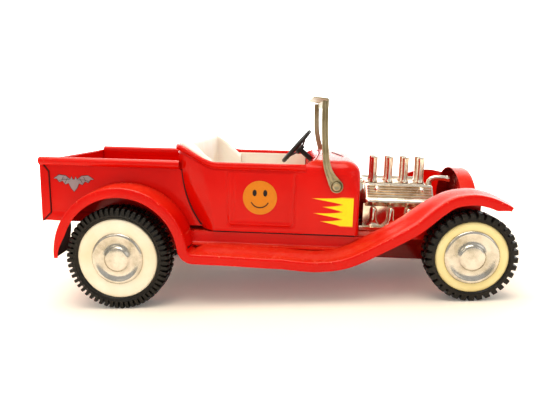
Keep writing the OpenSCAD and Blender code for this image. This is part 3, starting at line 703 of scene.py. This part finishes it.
def windshieldLeg():
    spine = smoothCurve(windshield["spine"], 6)
    relief = [(-1, 0.0), (-1, 0.8), (-0.88, 1.1), (-0.66, 1.05), (-0.5, 0.35), (-0.34, 0.2), (-0.14, 0.6),
              (0.14, 0.6), (0.34, 0.2),
              (0.5, 0.35), (0.66, 1.05), (0.88, 1.1), (1, 0.8), (1, 0.0)]
    rows = []
    for i, (x, z, half) in enumerate(spine):
        a, b = spine[min(i + 1, len(spine) - 1)], spine[max(i - 1, 0)]
        ahead = Vector((a[0] - b[0], a[1] - b[1])).normalized()
        across = (ahead.y, -ahead.x)
        fade = 1 - 0.55*ease((i - len(spine) + 9)/8)
        rows.append([(x + across[0]*half*w, -(windshield["legY"] + h*(fade if h > 0.8 else 1)),
                      z + across[1]*half*w) for w, h in relief])
    leg = grid(rows, closeAround=True, capEnds=True)
    ex, ez = windshield["eye"]
    profile = [(0, 0.35), (2.6, 0.35), (3.1, 0.45), (3.5, 0.85), (3.9, 0.9), (4.2, 0.65), (4.2, 0.0),
               (0, 0.0)]
    return join(leg, revolve(profile, 40, lambda a, b, h: (ex + a, -(windshield["legY"] + h), ez + b)))


def windshieldHeader():
    shape = [(131.25, 98.6), (131.35, 103.2), (130.9, 104.1), (126, 104.6), (122.0, 105.0), (121.9, 104.3),
             (125.9, 103.8),
             (129.9, 103.2), (130.35, 102.6), (130.25, 98.6)]
    return plankY(shape, -61.2, 61.2)


leg = windshieldLeg()
framePoints, frameFaces = join(leg, otherSide(leg), windshieldHeader())
# the light frame is bent a little, its far leg further back
framePoints = [(x - windshield["bend"]*ease((z - 54)/30)*ease((y + 70)/130), y, z) for x, y,
               z in framePoints]
makePiece("windshieldFrame", (framePoints, frameFaces), dullNickel, body="windshield",
          replaces=("windshield_frame",), bevel=0.12, smooth=45)


def rivetDome():
    ex, ez = windshield["eye"]
    profile = [(0, -61.55), (0.9, -61.6), (1.5, -61.95), (2.2, -62.15), (2.7, -61.9), (2.95, -61.2),
               (2.6, -61.15),
               (2.0, -61.15), (2.0, -59.2), (0, -59.2)]
    return revolve(profile, 32, lambda a, b, y: (ex + a, y, ez + b))


makePiece("windshieldRivets", join(rivetDome(), otherSide(rivetDome())), dullNickel,
          replaces=("windshield_rivets",), smooth=45)
print("Windshield built")

# steering wheel: oval rim, three dished spokes, a stub hub
steering = {"hub": (110.5, 25, 69.2), "tilt": 130.3, "radius": 15, "rim": (1.5, 1.45), "dish": 3.4}


def steeringPoint(a, b, c):  # the wheel's own axes: c runs down the column
    t = math.radians(steering["tilt"])
    hx, hy, hz = steering["hub"]
    return hx + a*math.cos(t) + c*math.sin(t), hy + b, hz - a*math.sin(t) + c*math.cos(t)


def steeringWheel():
    rows = []
    for a in roundAngles(72):
        row = []
        for b in roundAngles(14):
            finger = 0.12*math.cos(24*a)*max(0, math.cos(b - math.pi/2))
            r = steering["radius"] + (steering["rim"][0] - 0.05)*math.cos(b)
            row.append(steeringPoint(r*math.cos(a), r*math.sin(a),
                                     (steering["rim"][0] + finger)*math.sin(b)))
        rows.append(row)
    rim = grid(rows, closeAround=True, closeAlong=True)
    spokes = []
    for turn in (90, 210, 330):
        c, s = math.cos(math.radians(turn)), math.sin(math.radians(turn))
        bar = []
        for t in steps(0, 1, 10):
            r = mix(2.2, 14.6, t)
            half = mix(2.1, 1.5, math.sin(math.pi*t*0.8))
            drop = steering["dish"]*(1 - ease(t))
            bar.append([steeringPoint(r*c - s*w, r*s + c*w, drop + h) for w, h in
                        ((-half, -0.3), (-half*0.6, -0.65), (half*0.6, -0.65), (half, -0.3), (half, 0.4),
                         (0, 0.65), (-half, 0.4))])
        spokes.append(grid(bar, closeAround=True, capEnds=True))
    hub = [(0, 1.0), (1.9, 1.05), (3.0, 1.4), (3.8, 2.2), (4.1, 3.4), (3.9, 5.2), (2.0, 5.3), (0, 5.3)]
    return join(rim, revolve(hub, 28, steeringPoint), *spokes)


makePiece("steeringWheel", steeringWheel(), blackPlastic, body="steering_wheel",
          replaces=("steering_wheel",), smooth=50)
print("Steering wheel built")


# Geometry Nodes helpers: a tree is built here, run once and kept as a plain mesh
def startTree(name, inputs):
    tree = bpy.data.node_groups.new(name, "GeometryNodeTree")
    tree.interface.new_socket("Geometry", in_out="INPUT", socket_type="NodeSocketGeometry")
    sockets = {}
    for label, kind in inputs:
        sockets[label] = tree.interface.new_socket(label, in_out="INPUT", socket_type=kind).identifier
    tree.interface.new_socket("Geometry", in_out="OUTPUT", socket_type="NodeSocketGeometry")
    return tree, sockets, addNode(tree, "NodeGroupInput").outputs


def finishTree(tree, geometry, material):
    real = addNode(tree, "GeometryNodeRealizeInstances", {"Geometry": geometry}).outputs["Geometry"]
    painted = addNode(tree, "GeometryNodeSetMaterial", {"Geometry": real,
                                                        "Material": material}).outputs["Geometry"]
    addNode(tree, "NodeGroupOutput", {"Geometry": painted})


def runTree(name, tree, sockets, values, startMesh):
    # sets each named input, evaluates the modifier once and returns the result as a plain mesh
    carrier = addObject(name + "Carrier", startMesh)
    modifier = carrier.modifiers.new("nodes", "NODES")
    modifier.node_group = tree
    for label, value in values.items():
        modifier[sockets[label]] = value
    bpy.context.view_layer.update()
    mesh = bpy.data.meshes.new_from_object(carrier.evaluated_get(bpy.context.evaluated_depsgraph_get()))
    bpy.data.objects.remove(carrier)
    return mesh


def meshFrom(name, part, level=False):
    mesh = bpy.data.meshes.new(name)
    mesh.from_pydata([place(p) for p in part[0]] if level else [Vector(p) for p in part[0]], [], part[1])
    work = bmesh.new()
    work.from_mesh(mesh)
    bmesh.ops.remove_doubles(work, verts=work.verts, dist=1e-6)
    bmesh.ops.recalc_face_normals(work, faces=work.faces)
    work.to_mesh(mesh)
    work.free()
    return mesh


def repeatTree(name, material):
    # copies the incoming mesh along a straight row, or two rows, and realises the copies
    inputs = [("Count", "NodeSocketInt"), ("Step", "NodeSocketVector"),
              ("Rows", "NodeSocketInt"), ("Row Step", "NodeSocketVector")]
    tree, sockets, given = startTree(name, inputs)
    line = addNode(tree, "GeometryNodeMeshLine", {"Count": given["Count"], "Offset": given["Step"]},
                   mode="OFFSET")
    second = addNode(tree, "GeometryNodeMeshLine", {"Count": given["Rows"], "Offset": given["Row Step"]},
                     mode="OFFSET")
    spots = addNode(tree, "GeometryNodeInstanceOnPoints", {"Points": second.outputs["Mesh"],
                                                           "Instance": line.outputs["Mesh"]})
    flat = addNode(tree, "GeometryNodeRealizeInstances", {"Geometry": spots.outputs["Instances"]})
    copies = addNode(tree, "GeometryNodeInstanceOnPoints", {"Points": flat.outputs["Geometry"],
                                                            "Instance": given["Geometry"]})
    finishTree(tree, copies.outputs["Instances"], material)
    return tree, sockets


def ringTree(name, material):
    # copies the incoming mesh round the Y axis and realises the copies
    tree, sockets, given = startTree(name, [("Count", "NodeSocketInt"), ("Turn", "NodeSocketFloat"),
                                            ("Centre", "NodeSocketVector")])
    spots = addNode(tree, "GeometryNodeMeshLine", {"Count": given["Count"], "Offset": (0.0, 0.0, 0.0)},
                    mode="OFFSET")
    index = addNode(tree, "GeometryNodeInputIndex").outputs["Index"]
    share = addNode(tree, "ShaderNodeMath", {0: index, 1: given["Count"]}, operation="DIVIDE").outputs[0]
    angle = addNode(tree, "ShaderNodeMath", {0: share, 1: 2*math.pi, 2: given["Turn"]},
                    operation="MULTIPLY_ADD").outputs[0]
    turn = addNode(tree, "ShaderNodeCombineXYZ", {"Y": angle}).outputs["Vector"]
    copies = addNode(tree, "GeometryNodeInstanceOnPoints", {"Points": spots.outputs["Mesh"],
                                                            "Instance": given["Geometry"],
                     "Rotation": turn})
    moved = addNode(tree, "GeometryNodeTransform", {"Geometry": copies.outputs["Instances"],
                                                    "Translation": given["Centre"]})
    finishTree(tree, moved.outputs["Geometry"], material)
    return tree, sockets


def adopt(name, mesh, material, body, replaces=(), smooth=40):
    piece = addObject(name, mesh)
    if not mesh.materials:
        mesh.materials.append(material)
    for polygon in mesh.polygons:
        polygon.use_smooth = True
    mesh.set_sharp_from_angle(angle=math.radians(smooth))
    finishPiece(piece, body, replaces)
    return piece


def stepVector(dx, dy, dz):  # a step in the drawing, turned to the frame
    return place((dx, dy, dz)) - place((0, 0, 0))


# engine: everything the eye sees is bright plated moulding
engine = {"firstStack": 167.7, "pitch": 11.1, "stackY": 6, "stackFoot": 47.1,
          "portX": (165.4, 177.2, 189.0, 200.8)}


stackProfile = [(0, 0), (2.9, 0), (3.0, 0.6), (2.6, 1.3), (2.3, 2.0), (2.22, 6), (2.3, 14), (2.42, 17.2),
                (2.5, 17.8), (2.35, 18.1),
                (2.05, 18.0), (1.9, 17.2), (1.85, 9), (0, 9)]


def stackPoint(a, b, h):
    return engine["firstStack"] + a, -engine["stackY"] + b, engine["stackFoot"] + h


stackMesh = meshFrom("stackBlank", revolve(stackProfile, 24, stackPoint), level=True)
tree, sockets = repeatTree("stackRows", platedPlastic)
stacks = runTree("stacks", tree, sockets, {"Count": 4, "Step": stepVector(engine["pitch"], 0, 0), "Rows": 2,
                 "Row Step": stepVector(0, 2*engine["stackY"], 0)}, stackMesh)
adopt("intakeStacks", stacks, platedPlastic, "car_body", ("intake_stacks",), 40)


def coverPoint(x, a, b):  # the rocker cover's own axes: a across its face going in, b up its face
    c, s = math.cos(math.radians(-40)), math.sin(math.radians(-40))
    return 159.6 + x, -33.6 + a*c - b*s, 39.4 + a*s + b*c


def valveCover():
    # a rounded box with a stepped foot, on its sloping face
    section = [(-1.0, -3.9), (-1.3, -3.4), (-1.3, -1.4), (-1.0, -0.9), (-0.2, -0.7), (0.35, -0.3),
               (0.35, 11.2), (0.8, 12.0), (1.6, 12.3),
               (8.2, 12.3), (8.9, 11.8), (9.0, 11), (9.0, 0.4), (9.6, -0.2), (9.6, -3.9)]
    rows = []
    for x in [0, 0.25] + steps(0.8, 45, 20) + [45.55, 45.8]:
        pinch = 0.45*(1 - ease(x/0.8)) + 0.45*(1 - ease((45.8 - x)/0.8))
        rows.append([coverPoint(x, a + pinch*(0.9 if a < 4 else -0.9), b - pinch*(0.8 if b > 4 else -0.8))
                     for a, b in section])
    return grid(rows, closeAround=True, capEnds=True)


finShape = [(0.5, -0.62), (-0.3, -0.55), (-1.1, -0.3), (-1.15, 0.12), (-0.6, 0.45), (0.5, 0.6)]
finRows = [[coverPoint(x, a*(0.4 if x in (1.2, 44.6) else 1) + (0.3 if x in (1.2, 44.6) else 0), b + 1.4)
            for a, b in finShape]
           for x in [1.2, 1.7] + steps(4, 42, 8) + [44.1, 44.6]]
finMesh = meshFrom("finBlank", grid(finRows, closeAround=True, capEnds=True), level=True)
tree, sockets = repeatTree("coverFins", platedPlastic)
finStep = place(coverPoint(0, 0, 2.0)) - place(coverPoint(0, 0, 0))
fins = runTree("fins", tree, sockets, {"Count": 5, "Step": finStep, "Rows": 1, "Row Step": (0.0, 0.0, 0.0)},
               finMesh)


def coverBolts():
    bolt = [(0, -2.3), (0.9, -2.25), (1.5, -1.9), (1.75, -1.3), (1.75, -0.6), (2.1, -0.2), (2.1, 0.6),
            (0, 0.6)]
    return join(*[revolve(bolt, 20, lambda a, b, out: coverPoint(x + a, out, 6.6 + b)) for x in (8, 38)])


def mirroredMesh(mesh, name):
    copy = mesh.copy()
    copy.name = name
    for vertex in copy.vertices:
        vertex.co.y = -vertex.co.y
    copy.flip_normals()
    return copy


cover = valveCover()
bolts = coverBolts()
for side, turned in bothSides:
    node = f"valve_cover_{side.lower()}"
    makePiece("valveCover" + side, turned(cover), platedPlastic, replaces=(node,), smooth=40)
    makePiece("coverBolts" + side, turned(bolts), platedPlastic, smooth=40)
    adopt("coverFins" + side, fins if side == "Right" else mirroredMesh(fins, "finsLeft"), platedPlastic,
          "car_body", (), 50)


def portPoint(x, a, b, h):  # the foot of a port spreads along the head and narrows across it
    along, across = (1.0, 1.0) if h > 3 else (1.1, 0.62)
    return x + a*along, -34.2 + b*across, 20 + h


def exhaust():
    # tulip-shaped ports that flare into a flat collector
    parts = []
    profile = [(0, 13.4), (1.1, 13.2), (1.9, 12.5), (2.3, 11.2), (2.4, 9), (2.45, 5.6), (2.7, 4),
               (3.3, 2.6), (4.4, 1.3), (5.2, 0.7), (5.3, 0.0), (0, 0.0)]
    for x in engine["portX"]:
        parts.append(revolve(profile, 24, lambda a, b, h: portPoint(x, a, b, h)))
        parts.append(tube([(x, -34.2, 27.5), (x, -30, 27.3), (x, -24, 27)], 2.1, 16))
    parts.append(plankY([(158.5, 20.4), (205, 20.4), (205, 35.4), (158.5, 35.4)], -32.6, -31.4))
    rail = [(-38.6, 17.7), (-29, 17.7), (-28.4, 19.4), (-29.6, 20.6), (-37.2, 20.9), (-38.6, 20.0)]
    railRows = [[(x, y, z if x > 158 else mix(19.2, z, 0.8)) for y, z in rail]
                for x in [155.8, 156.4] + steps(158, 204, 12) + [206]]
    parts.append(grid(railRows, closeAround=True, capEnds=True))
    return join(*parts)


header = exhaust()
makePiece("exhaustRight", header, platedPlastic, replaces=("exhaust_header_right",), smooth=45)
makePiece("exhaustLeft", otherSide(header), platedPlastic, replaces=("exhaust_header_left",), smooth=45)

hosePath = [(208, -3, 44.6), (208, -3, 46.4), (208.5, -3, 48.3), (209.8, -3, 49.9), (212, -3, 50.7),
            (215, -3, 50.9), (218.5, -3, 50.8),
            (220.4, -3, 50.6), (220.8, -3, 50.6), (222.6, -3, 50.5)]
makePiece("waterHose", tube(hosePath, [2.6, 2.0, 1.9, 1.9, 1.9, 1.8, 1.8, 1.85, 2.3, 2.3], 20),
          platedPlastic, replaces=("water_neck",), smooth=50)

manifoldRows = []
for x in steps(162, 204, 60):
    bulge = 0.5*abs(math.sin(math.pi*(x - 162)/5.55))
    manifoldRows.append([(x, -8.4 - bulge, 44.1), (x, -8.7 - bulge, 45), (x, -8.3 - bulge, 46.6),
                         (x, -7.2, 47.3), (x, 7.2, 47.3),
                         (x, 8.3 + bulge, 46.6), (x, 8.7 + bulge, 45), (x, 8.4 + bulge, 44.1)])
makePiece("intakeManifold", grid(manifoldRows, closeAround=True, capEnds=True), platedPlastic,
          replaces=("intake_manifold",), smooth=45)
print("Engine built")

# grille shell: an arched hoop with a turned-in front flange
grille = {"halfWidth": 35.5, "rise": 27, "springZ": 31.6, "low": 17.5}


def archLine(inset):
    w, rise = grille["halfWidth"] - inset, grille["rise"] - inset
    line = [(w, z) for z in (grille["low"], 22, 27)]
    line += [(w*math.cos(a), grille["springZ"] + rise*math.sin(a)**0.92) for a in steps(0, math.pi, 56)]
    return line + [(-w, z) for z in (27, 22, grille["low"])]


shellRows = []
for x, inset in ((223.2, 0.35), (223.3, 0.05), (224.4, 0), (229, 0), (231.6, 0), (232.8, 0.15),
                 (233.4, 0.6), (233.75, 1.3), (233.8, 2.2),
                 (233.8, 4.5), (233.6, 5.4), (233.1, 5.9)):
    shellRows.append([(x, y, z) for y, z in archLine(inset)])
shellWear = []
for i, row in enumerate(shellRows):
    shellWear += [0.7 if i in (0, 6, 7) else 0.1]*len(row)
makePiece("grilleShell", grid(shellRows), redEnamel, replaces=("grille_shell",), thick=0.8, wear=shellWear,
          smooth=50, tidy=False,
          inside=darkEnamel)
print("Grille built")

# wheels
wheels = {"rear": {"hub": rearHub, "disc": 26.0, "tyre": 33.4, "lugs": 56, "lugShare": 0.54, "lugDeep": 1.7,
                   "lugLong": 6.2, "wall": whiteWall},
          "front": {"hub": frontHub, "disc": 22.2, "tyre": 27.8, "lugs": 34, "lugShare": 0.6,
                    "lugDeep": 1.6, "lugLong": 6.4, "wall": creamWall},
          "faceY": 71.5, "width": 17.0, "capRadius": 16.8}


def onAxle(profile, hub, around, side):  # turns (radius, distance out) pairs in millimetres about the axle
    return revolve(profile, around, lambda a, b, out: (hub.x + a/1000, side*out/1000, hub.z + b/1000))


def tyreProfile(inner, outer, deep):
    face, back = wheels["faceY"], wheels["faceY"] - wheels["width"]
    crown = outer - deep
    return [(inner, face - 1.3), (inner + 0.5, face - 0.7), (inner + 1.0, face - 0.35),
            (inner + 1.6, face - 0.55), (inner + 2.2, face - 0.15),
            (crown - 3.2, face), (crown - 2.7, face - 0.7), (crown - 1.6, face - 1.5),
            (crown - 0.5, face - 2.2),
            (crown, face - 3.2), (crown + 0.12, face - wheels["width"]/2), (crown, back + 3.2),
            (crown - 0.1, back + 1.8),
            (crown - 0.7, back + 0.8), (crown - 1.8, back + 0.2), (mix(inner, crown, 0.4), back),
            (inner + 1, back + 0.4),
            (inner, back + 1.4), (inner, face - 1.3)]


def discProfile(disc, cap):  # a dished plastic wheel with a raised outer ring
    return [(2.0, 69.4), (cap - 0.7, 69.4), (cap - 0.6, 70.0), (cap + 0.2, 70.2),
            (mix(cap, disc, 0.45), 70.75),
            (disc - 1.6, 70.6), (disc - 0.6, 70.35), (disc - 0.1, 69.9), (disc, 69.2), (disc, 57),
            (disc - 2, 57),
            (disc - 4.6, 60.6), (disc - 6, 63), (4.5, 63), (4.5, 55), (2.0, 55), (2.0, 69.4)]


def capProfile(cap):  # a stepped hubcap with a plain raised middle
    return [(0, 72.25), (3, 72.28), (6.6, 72.2), (7.3, 72.05), (7.8, 71.5), (8.3, 70.9), (9.2, 70.45),
            (10.2, 70.3),
            (11.6, 70.35), (13, 70.65), (14.0, 71.15), (14.6, 71.4), (15.2, 71.45), (15.9, 71.25),
            (16.4, 70.9),
            (cap - 0.05, 70.5), (cap, 70.2), (cap - 0.8, 70.0), (cap - 1.2, 69.5), (0, 69.5)]


def lugBlank(spec):
    # one tread block, from the shoulder in towards the middle, standing on the tyre's crown
    outer, deep = spec["tyre"], spec["lugDeep"]
    pitch = 2*math.pi*outer/spec["lugs"]
    half = pitch*spec["lugShare"]/2
    crown = outer - deep
    face = wheels["faceY"]
    stations = [(face - 0.12, crown - 3.1, outer - 1.7, 0.9), (face - 0.1, crown - 3.3, outer - 1.2, 1.0),
                (face - 0.5, crown - 3, outer - 0.4, 1.0),
                (face - 1.3, crown - 2, outer - 0.05, 1.0), (face - 4, crown - 0.5, outer, 1.0),
                (face - spec["lugLong"], crown - 0.5, outer - 0.05, 1.0),
                (face - spec["lugLong"] - 0.35, crown - 0.5, outer - 0.4, 0.9)]
    rows = []
    for y, low, high, share in stations:
        w = half*share
        rows.append([(-w*1.05, y, low), (-w, y, high - 0.25), (-w + 0.25, y, high), (w - 0.25, y, high),
                     (w, y, high - 0.25), (w*1.05, y, low)])
    return rows


for end in ("rear", "front"):
    spec = wheels[end]
    hub = spec["hub"]
    body = end + "_wheels"
    lugTree, lugSockets = ringTree(end + "TreadRing", tyreRubber)
    for side, sign in (("right", -1), ("left", 1)):
        mark = end + side.capitalize()
        makePiece(mark + "Tyre", onAxle(tyreProfile(spec["disc"], spec["tyre"], spec["lugDeep"]), hub, 128,
                                        sign), tyreRubber, body,
                  (f"{end}_tyre_{side}",), level=False, smooth=35)
        rings = []
        middle = wheels["faceY"] - wheels["width"]/2
        for row, (shift, mirror) in enumerate(((0.0, False), (0.5, True))):
            rows = [[(x/1000, sign*(2*middle - y if mirror else y)/1000, z/1000) for x, y, z in station]
                    for station in lugBlank(spec)]
            blank = meshFrom("lugBlank", grid(rows, closeAround=True, capEnds=True))
            values = {"Count": spec["lugs"], "Turn": shift*2*math.pi/spec["lugs"], "Centre": hub}
            rings.append(runTree(mark + "Lugs", lugTree, lugSockets, values, blank))
        merged = bmesh.new()
        for ring in rings:
            merged.from_mesh(ring)
        merged.to_mesh(rings[0])
        merged.free()
        adopt(mark + "Tread", rings[0], tyreRubber, body, (), 40)
        makePiece(mark + "Disc", onAxle(discProfile(spec["disc"], wheels["capRadius"]), hub, 96, sign),
                  spec["wall"], body, (f"{end}_wheel_{side}",), level=False, smooth=40)
        makePiece(mark + "Hubcap", onAxle(capProfile(wheels["capRadius"]), hub, 96, sign), hubMetal, body,
                  (f"{end}_hubcap_{side}",), level=False, smooth=50)
print("Wheels built")

# printed stickers on the right and left sides, each a thin layered film
stickers = {"cabY": 59.3, "doorOut": 0.22, "bedY": 53.0, "lift": 0.02, "layer": 0.09, "film": 0.08,
            "face": (90, 41.1, 10.9)}


def film(outline, baseY, layer):
    # the film lies on the door pressing, which stands half a millimetre out
    low = -(baseY + layer*stickers["layer"] + stickers["lift"])
    return plankY(outline, low - stickers["film"], low)


def oval(cx, cz, rx, rz, count=36):
    return [(cx + rx*math.cos(a), cz + rz*math.sin(a)) for a in roundAngles(count)]


def stroke(points, width):  # a line of even width as one outline
    left, right = [], []
    for i, p in enumerate(points):
        a, b = points[min(i + 1, len(points) - 1)], points[max(i - 1, 0)]
        d = Vector((a[0] - b[0], a[1] - b[1])).normalized()*width/2
        left.append((p[0] - d.y, p[1] + d.x))
        right.append((p[0] + d.y, p[1] - d.x))
    return left + right[::-1]


fx, fz, fr = stickers["face"]
faceLayers = [("Disc", [oval(fx, fz, fr, fr, 72)], stickerOrange),
              ("Eyes", [oval(fx + s, fz + 3, 1.3, 2.1) for s in (-3.4, 3.4)], stickerBlack),
              ("Mouth", [stroke(arc(fx, fz - 0.4, 6, 205, 335, 24), 0.6)], stickerBlack)]

# plain tongues of flame that run back from a band at the front edge, and lift towards their tips
flame = {"front": 149.4, "low": 24.0, "high": 43.0, "root": 8.0, "reach": (27.0, 20.0, 26.0, 21.0),
         "lift": 1.4, "rim": 0.6}


def flameOutline(inset):
    count = len(flame["reach"])
    pitch = (flame["high"] - flame["low"])/count
    edge = []
    for z in steps(flame["high"] - inset, flame["low"] + inset, 24*count + 1):
        down = (flame["high"] - z)/pitch
        i = min(int(down), count - 1)
        middle = 1 - abs(2*(down - i) - 1)  # 0 between two tongues, 1 along the middle of one
        reach = flame["root"] + (flame["reach"][i] - flame["root"])*middle**1.5 - 2.5*inset
        edge.append((flame["front"] - reach, z + flame["lift"]*(reach/flame["reach"][0])**2))
    return edge + [(flame["front"], flame["low"] + inset), (flame["front"], flame["high"] - inset)]


def shrunk(outline, amount):  # moves an outline inwards, or outwards when the amount is negative
    out = []
    area = sum(a[0]*b[1] - b[0]*a[1] for a, b in zip(outline, outline[1:] + outline[:1]))
    amount = math.copysign(amount, area*amount)
    count = len(outline)
    for i, p in enumerate(outline):
        a, b = Vector(outline[(i + 1) % count]), Vector(outline[i - 1])
        d = (a - b).normalized()
        out.append((p[0] - d.y*amount, p[1] + d.x*amount))
    return out


# a plain bat outline, half of it drawn and the other half its mirror, scaled about its middle
bat = {"x": -34.4, "z": 45.6, "half": 13.6, "tall": 8}
batHalf = [(0.05, 0.30), (0.10, 0.55), (0.17, 0.30), (0.40, 0.60), (0.72, 0.66), (1.0, 0.34), (0.84, 0.34),
           (0.72, 0.06), (0.56, 0.18), (0.42, -0.12), (0.26, 0.0), (0.14, -0.42)]
batLines = [[(0.2, 0.28), (0.5, 0.3), (0.76, 0.16)], [(0.3, 0.42), (0.44, 0.0)], [(0.5, 0.52), (0.6, 0.22)]]


def onBat(points, side):
    return [(bat["x"] + side*bat["half"]*x, bat["z"] + bat["tall"]*z) for x, z in points]


batShape = onBat(batHalf, 1) + onBat([(0, -0.7)], 1) + onBat(batHalf[::-1], -1)
batRibs = [onBat(line, side) for side in (-1, 1) for line in batLines]
for side, turned in bothSides:
    for layer, (part, outlines, material) in enumerate(faceLayers):
        shapes = join(*[film(o, stickers["cabY"] + stickers["doorOut"],
                             layer + (1 if part == "Mouth" else 0)) for o in outlines])
        makePiece(f"stickerFace{part}{side}", turned(shapes), material, smooth=30)
    makePiece("stickerFlameEdge" + side, turned(film(flameOutline(0), stickers["cabY"], 0)), stickerFlame,
              smooth=30)
    makePiece("stickerFlameBody" + side, turned(film(flameOutline(flame["rim"]), stickers["cabY"], 1)),
              stickerYellow, smooth=30)
    makePiece("stickerBat" + side, turned(film(batShape, stickers["bedY"], 1)), stickerGrey, smooth=30)
    makePiece("stickerBatEdge" + side, turned(film(shrunk(batShape, -0.35), stickers["bedY"], 0)),
              stickerBlack, smooth=30)
    makePiece("stickerBatRibs" + side, turned(join(*[film(stroke(r, 0.26), stickers["bedY"], 2)
                                                     for r in batRibs])), stickerBlack, smooth=30)
print("Stickers laid")


# the remaining CAD pieces keep their shape and take a finish, welded and smoothed by angle
def weldTree():
    tree, sockets, given = startTree("weldAndSmooth", [("Angle", "NodeSocketFloat")])
    welded = addNode(tree, "GeometryNodeMergeByDistance", {"Geometry": given["Geometry"],
                                                           "Distance": 0.000002}).outputs["Geometry"]
    angle = addNode(tree, "GeometryNodeInputMeshEdgeAngle").outputs["Unsigned Angle"]
    soft = addNode(tree, "FunctionNodeCompare", {0: angle, 1: given["Angle"]},
                   operation="LESS_THAN").outputs["Result"]
    faces = addNode(tree, "GeometryNodeSetShadeSmooth", {"Geometry": welded, "Shade Smooth": True},
                    domain="FACE").outputs["Geometry"]
    edges = addNode(tree, "GeometryNodeSetShadeSmooth", {"Geometry": faces, "Shade Smooth": soft},
                    domain="EDGE").outputs["Geometry"]
    addNode(tree, "NodeGroupOutput", {"Geometry": edges})
    return tree, sockets


weld, weldSockets = weldTree()
keptNodes = {"chassis_frame": darkEnamel, "floor_pan": redEnamel, "bed_bearers": darkEnamel,
             "bed_floor": redEnamel, "bed_front_wall": redEnamel,
             "firewall": redEnamel, "steering_column": blackPlastic,
             "engine_block": platedPlastic, "bell_housing": platedPlastic, "grille_insert": platedPlastic,
             "motor_side_plates": bareSteel,
             "motor_pillars": yellowBrass, "idler_gear": yellowBrass, "flywheel": bareSteel,
             "body_screws": bareSteel, "rear_axle": bareSteel,
             "axle_gear": yellowBrass, "front_axle": bareSteel, "front_bushings": yellowBrass}
sharpSmall = {"idler_gear", "axle_gear", "flywheel", "rear_axle", "front_axle", "body_screws"}
for nodeName, material in keptNodes.items():
    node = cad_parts[nodeName]
    node.data.materials.clear()
    node.data.materials.append(material)
    modifier = node.modifiers.new("weldAndSmooth", "NODES")
    modifier.node_group = weld
    modifier[weldSockets["Angle"]] = math.radians(32)
    if nodeName not in sharpSmall:
        breakEdges(node, 0.18, 40)
print("CAD pieces finished")

# floor, light and camera
studio = {"floorColour": "#FFF3E0", "key": 1.4, "fill": 0.9, "top": 14.0, "sky": 0.5, "glow": 0.95}


def makeFloor():
    rows = []
    profile = [(-0.55, 0), (1.2, 0)] + [(1.2 + 0.8*math.sin(math.radians(a)),
                                         0.8 - 0.8*math.cos(math.radians(a)))
                                        for a in steps(6, 90, 14)] + [(2.0, 2.6)]
    for x in steps(-3.2, 3.2, 8):
        rows.append([(x, y, z) for y, z in profile])
    points, faces = grid(rows)
    mesh = bpy.data.meshes.new("studioFloor")
    mesh.from_pydata(points, [], faces)
    mesh.polygons.foreach_set("use_smooth", [True]*len(mesh.polygons))
    floor = addObject("studioFloor", mesh)
    material = bpy.data.materials.new("paperSweep")
    material.use_nodes = True
    tree = material.node_tree
    shader = tree.nodes["Principled BSDF"]
    shader.inputs["Roughness"].default_value = 0.75
    shader.inputs["Specular IOR Level"].default_value = 0.2
    where = addNode(tree, "ShaderNodeTexCoord").outputs["Object"]
    depth = addNode(tree, "ShaderNodeSeparateXYZ", {"Vector": where}).outputs["Y"]
    # further back the paper turns white and glows: a painted glow that makes the backdrop bright, faint near
    # the car and strong at the back
    far = spread(tree, depth, 0.15, 0.9)
    fibre = spread(tree, noise(tree, where, 60, 3), 0.3, 0.7, (0.0, 0.25))
    paper = blendColours(tree, fibre, linear(studio["floorColour"]), linear("#FDEED6"))
    tree.links.new(blendColours(tree, far, paper, linear("#FFFFFF")), shader.inputs["Base Color"])
    shader.inputs["Emission Color"].default_value = linear("#FFFFFF")
    tree.links.new(spread(tree, depth, 0.05, 0.8, (0.1, studio["glow"])), shader.inputs["Emission Strength"])
    mesh.materials.append(material)


def areaLight(name, where, aim, size, power, colour="#FFFFFF"):
    light = bpy.data.lights.new(name, "AREA")
    light.shape, light.size, light.size_y, light.energy = "RECTANGLE", size[0], size[1], power
    light.color = linear(colour)[:3]
    lamp = addObject(name, light)
    lamp.location = where
    lamp.rotation_euler = (Vector(aim) - Vector(where)).to_track_quat("-Z", "Y").to_euler()


makeFloor()
areaLight("topSoftbox", (-0.15, -0.1, 1.3), (0, 0, 0), (1.3, 1.0), studio["top"], "#FFF8EE")
areaLight("keySoftbox", (-0.9, -1.1, 1.0), (0, 0, 0.05), (0.7, 0.5), studio["key"], "#FFF4E4")
areaLight("fillSoftbox", (1.2, -0.9, 0.6), (0.05, 0, 0.05), (0.7, 0.7), studio["fill"], "#FFFFFF")
bpy.context.scene.view_settings.view_transform = "Standard"
bpy.context.scene.view_settings.look = "Medium High Contrast"
world = bpy.data.worlds.new("studioSky")
bpy.context.scene.world = world
world.use_nodes = True
backdrop = world.node_tree.nodes["Background"]
backdrop.inputs["Color"].default_value = linear("#FFFFFF")
seen = addNode(world.node_tree,
               "ShaderNodeLightPath").outputs["Is Camera Ray"]  # white to look at, dim as a light
world.node_tree.links.new(spread(world.node_tree, seen, 0, 1, (studio["sky"], 1.0)),
                          backdrop.inputs["Strength"])

camera = addObject("camera", bpy.data.cameras.new("camera"))
camera.location = (0.02842, -0.37947, 0.11907)
camera.rotation_euler = [math.radians(a) for a in (79.951, 2.738, 3.745)]
camera.data.lens, camera.data.sensor_width, camera.data.clip_start = 33.45, 36, 0.01
bpy.context.scene.camera = camera
print("Studio lit")
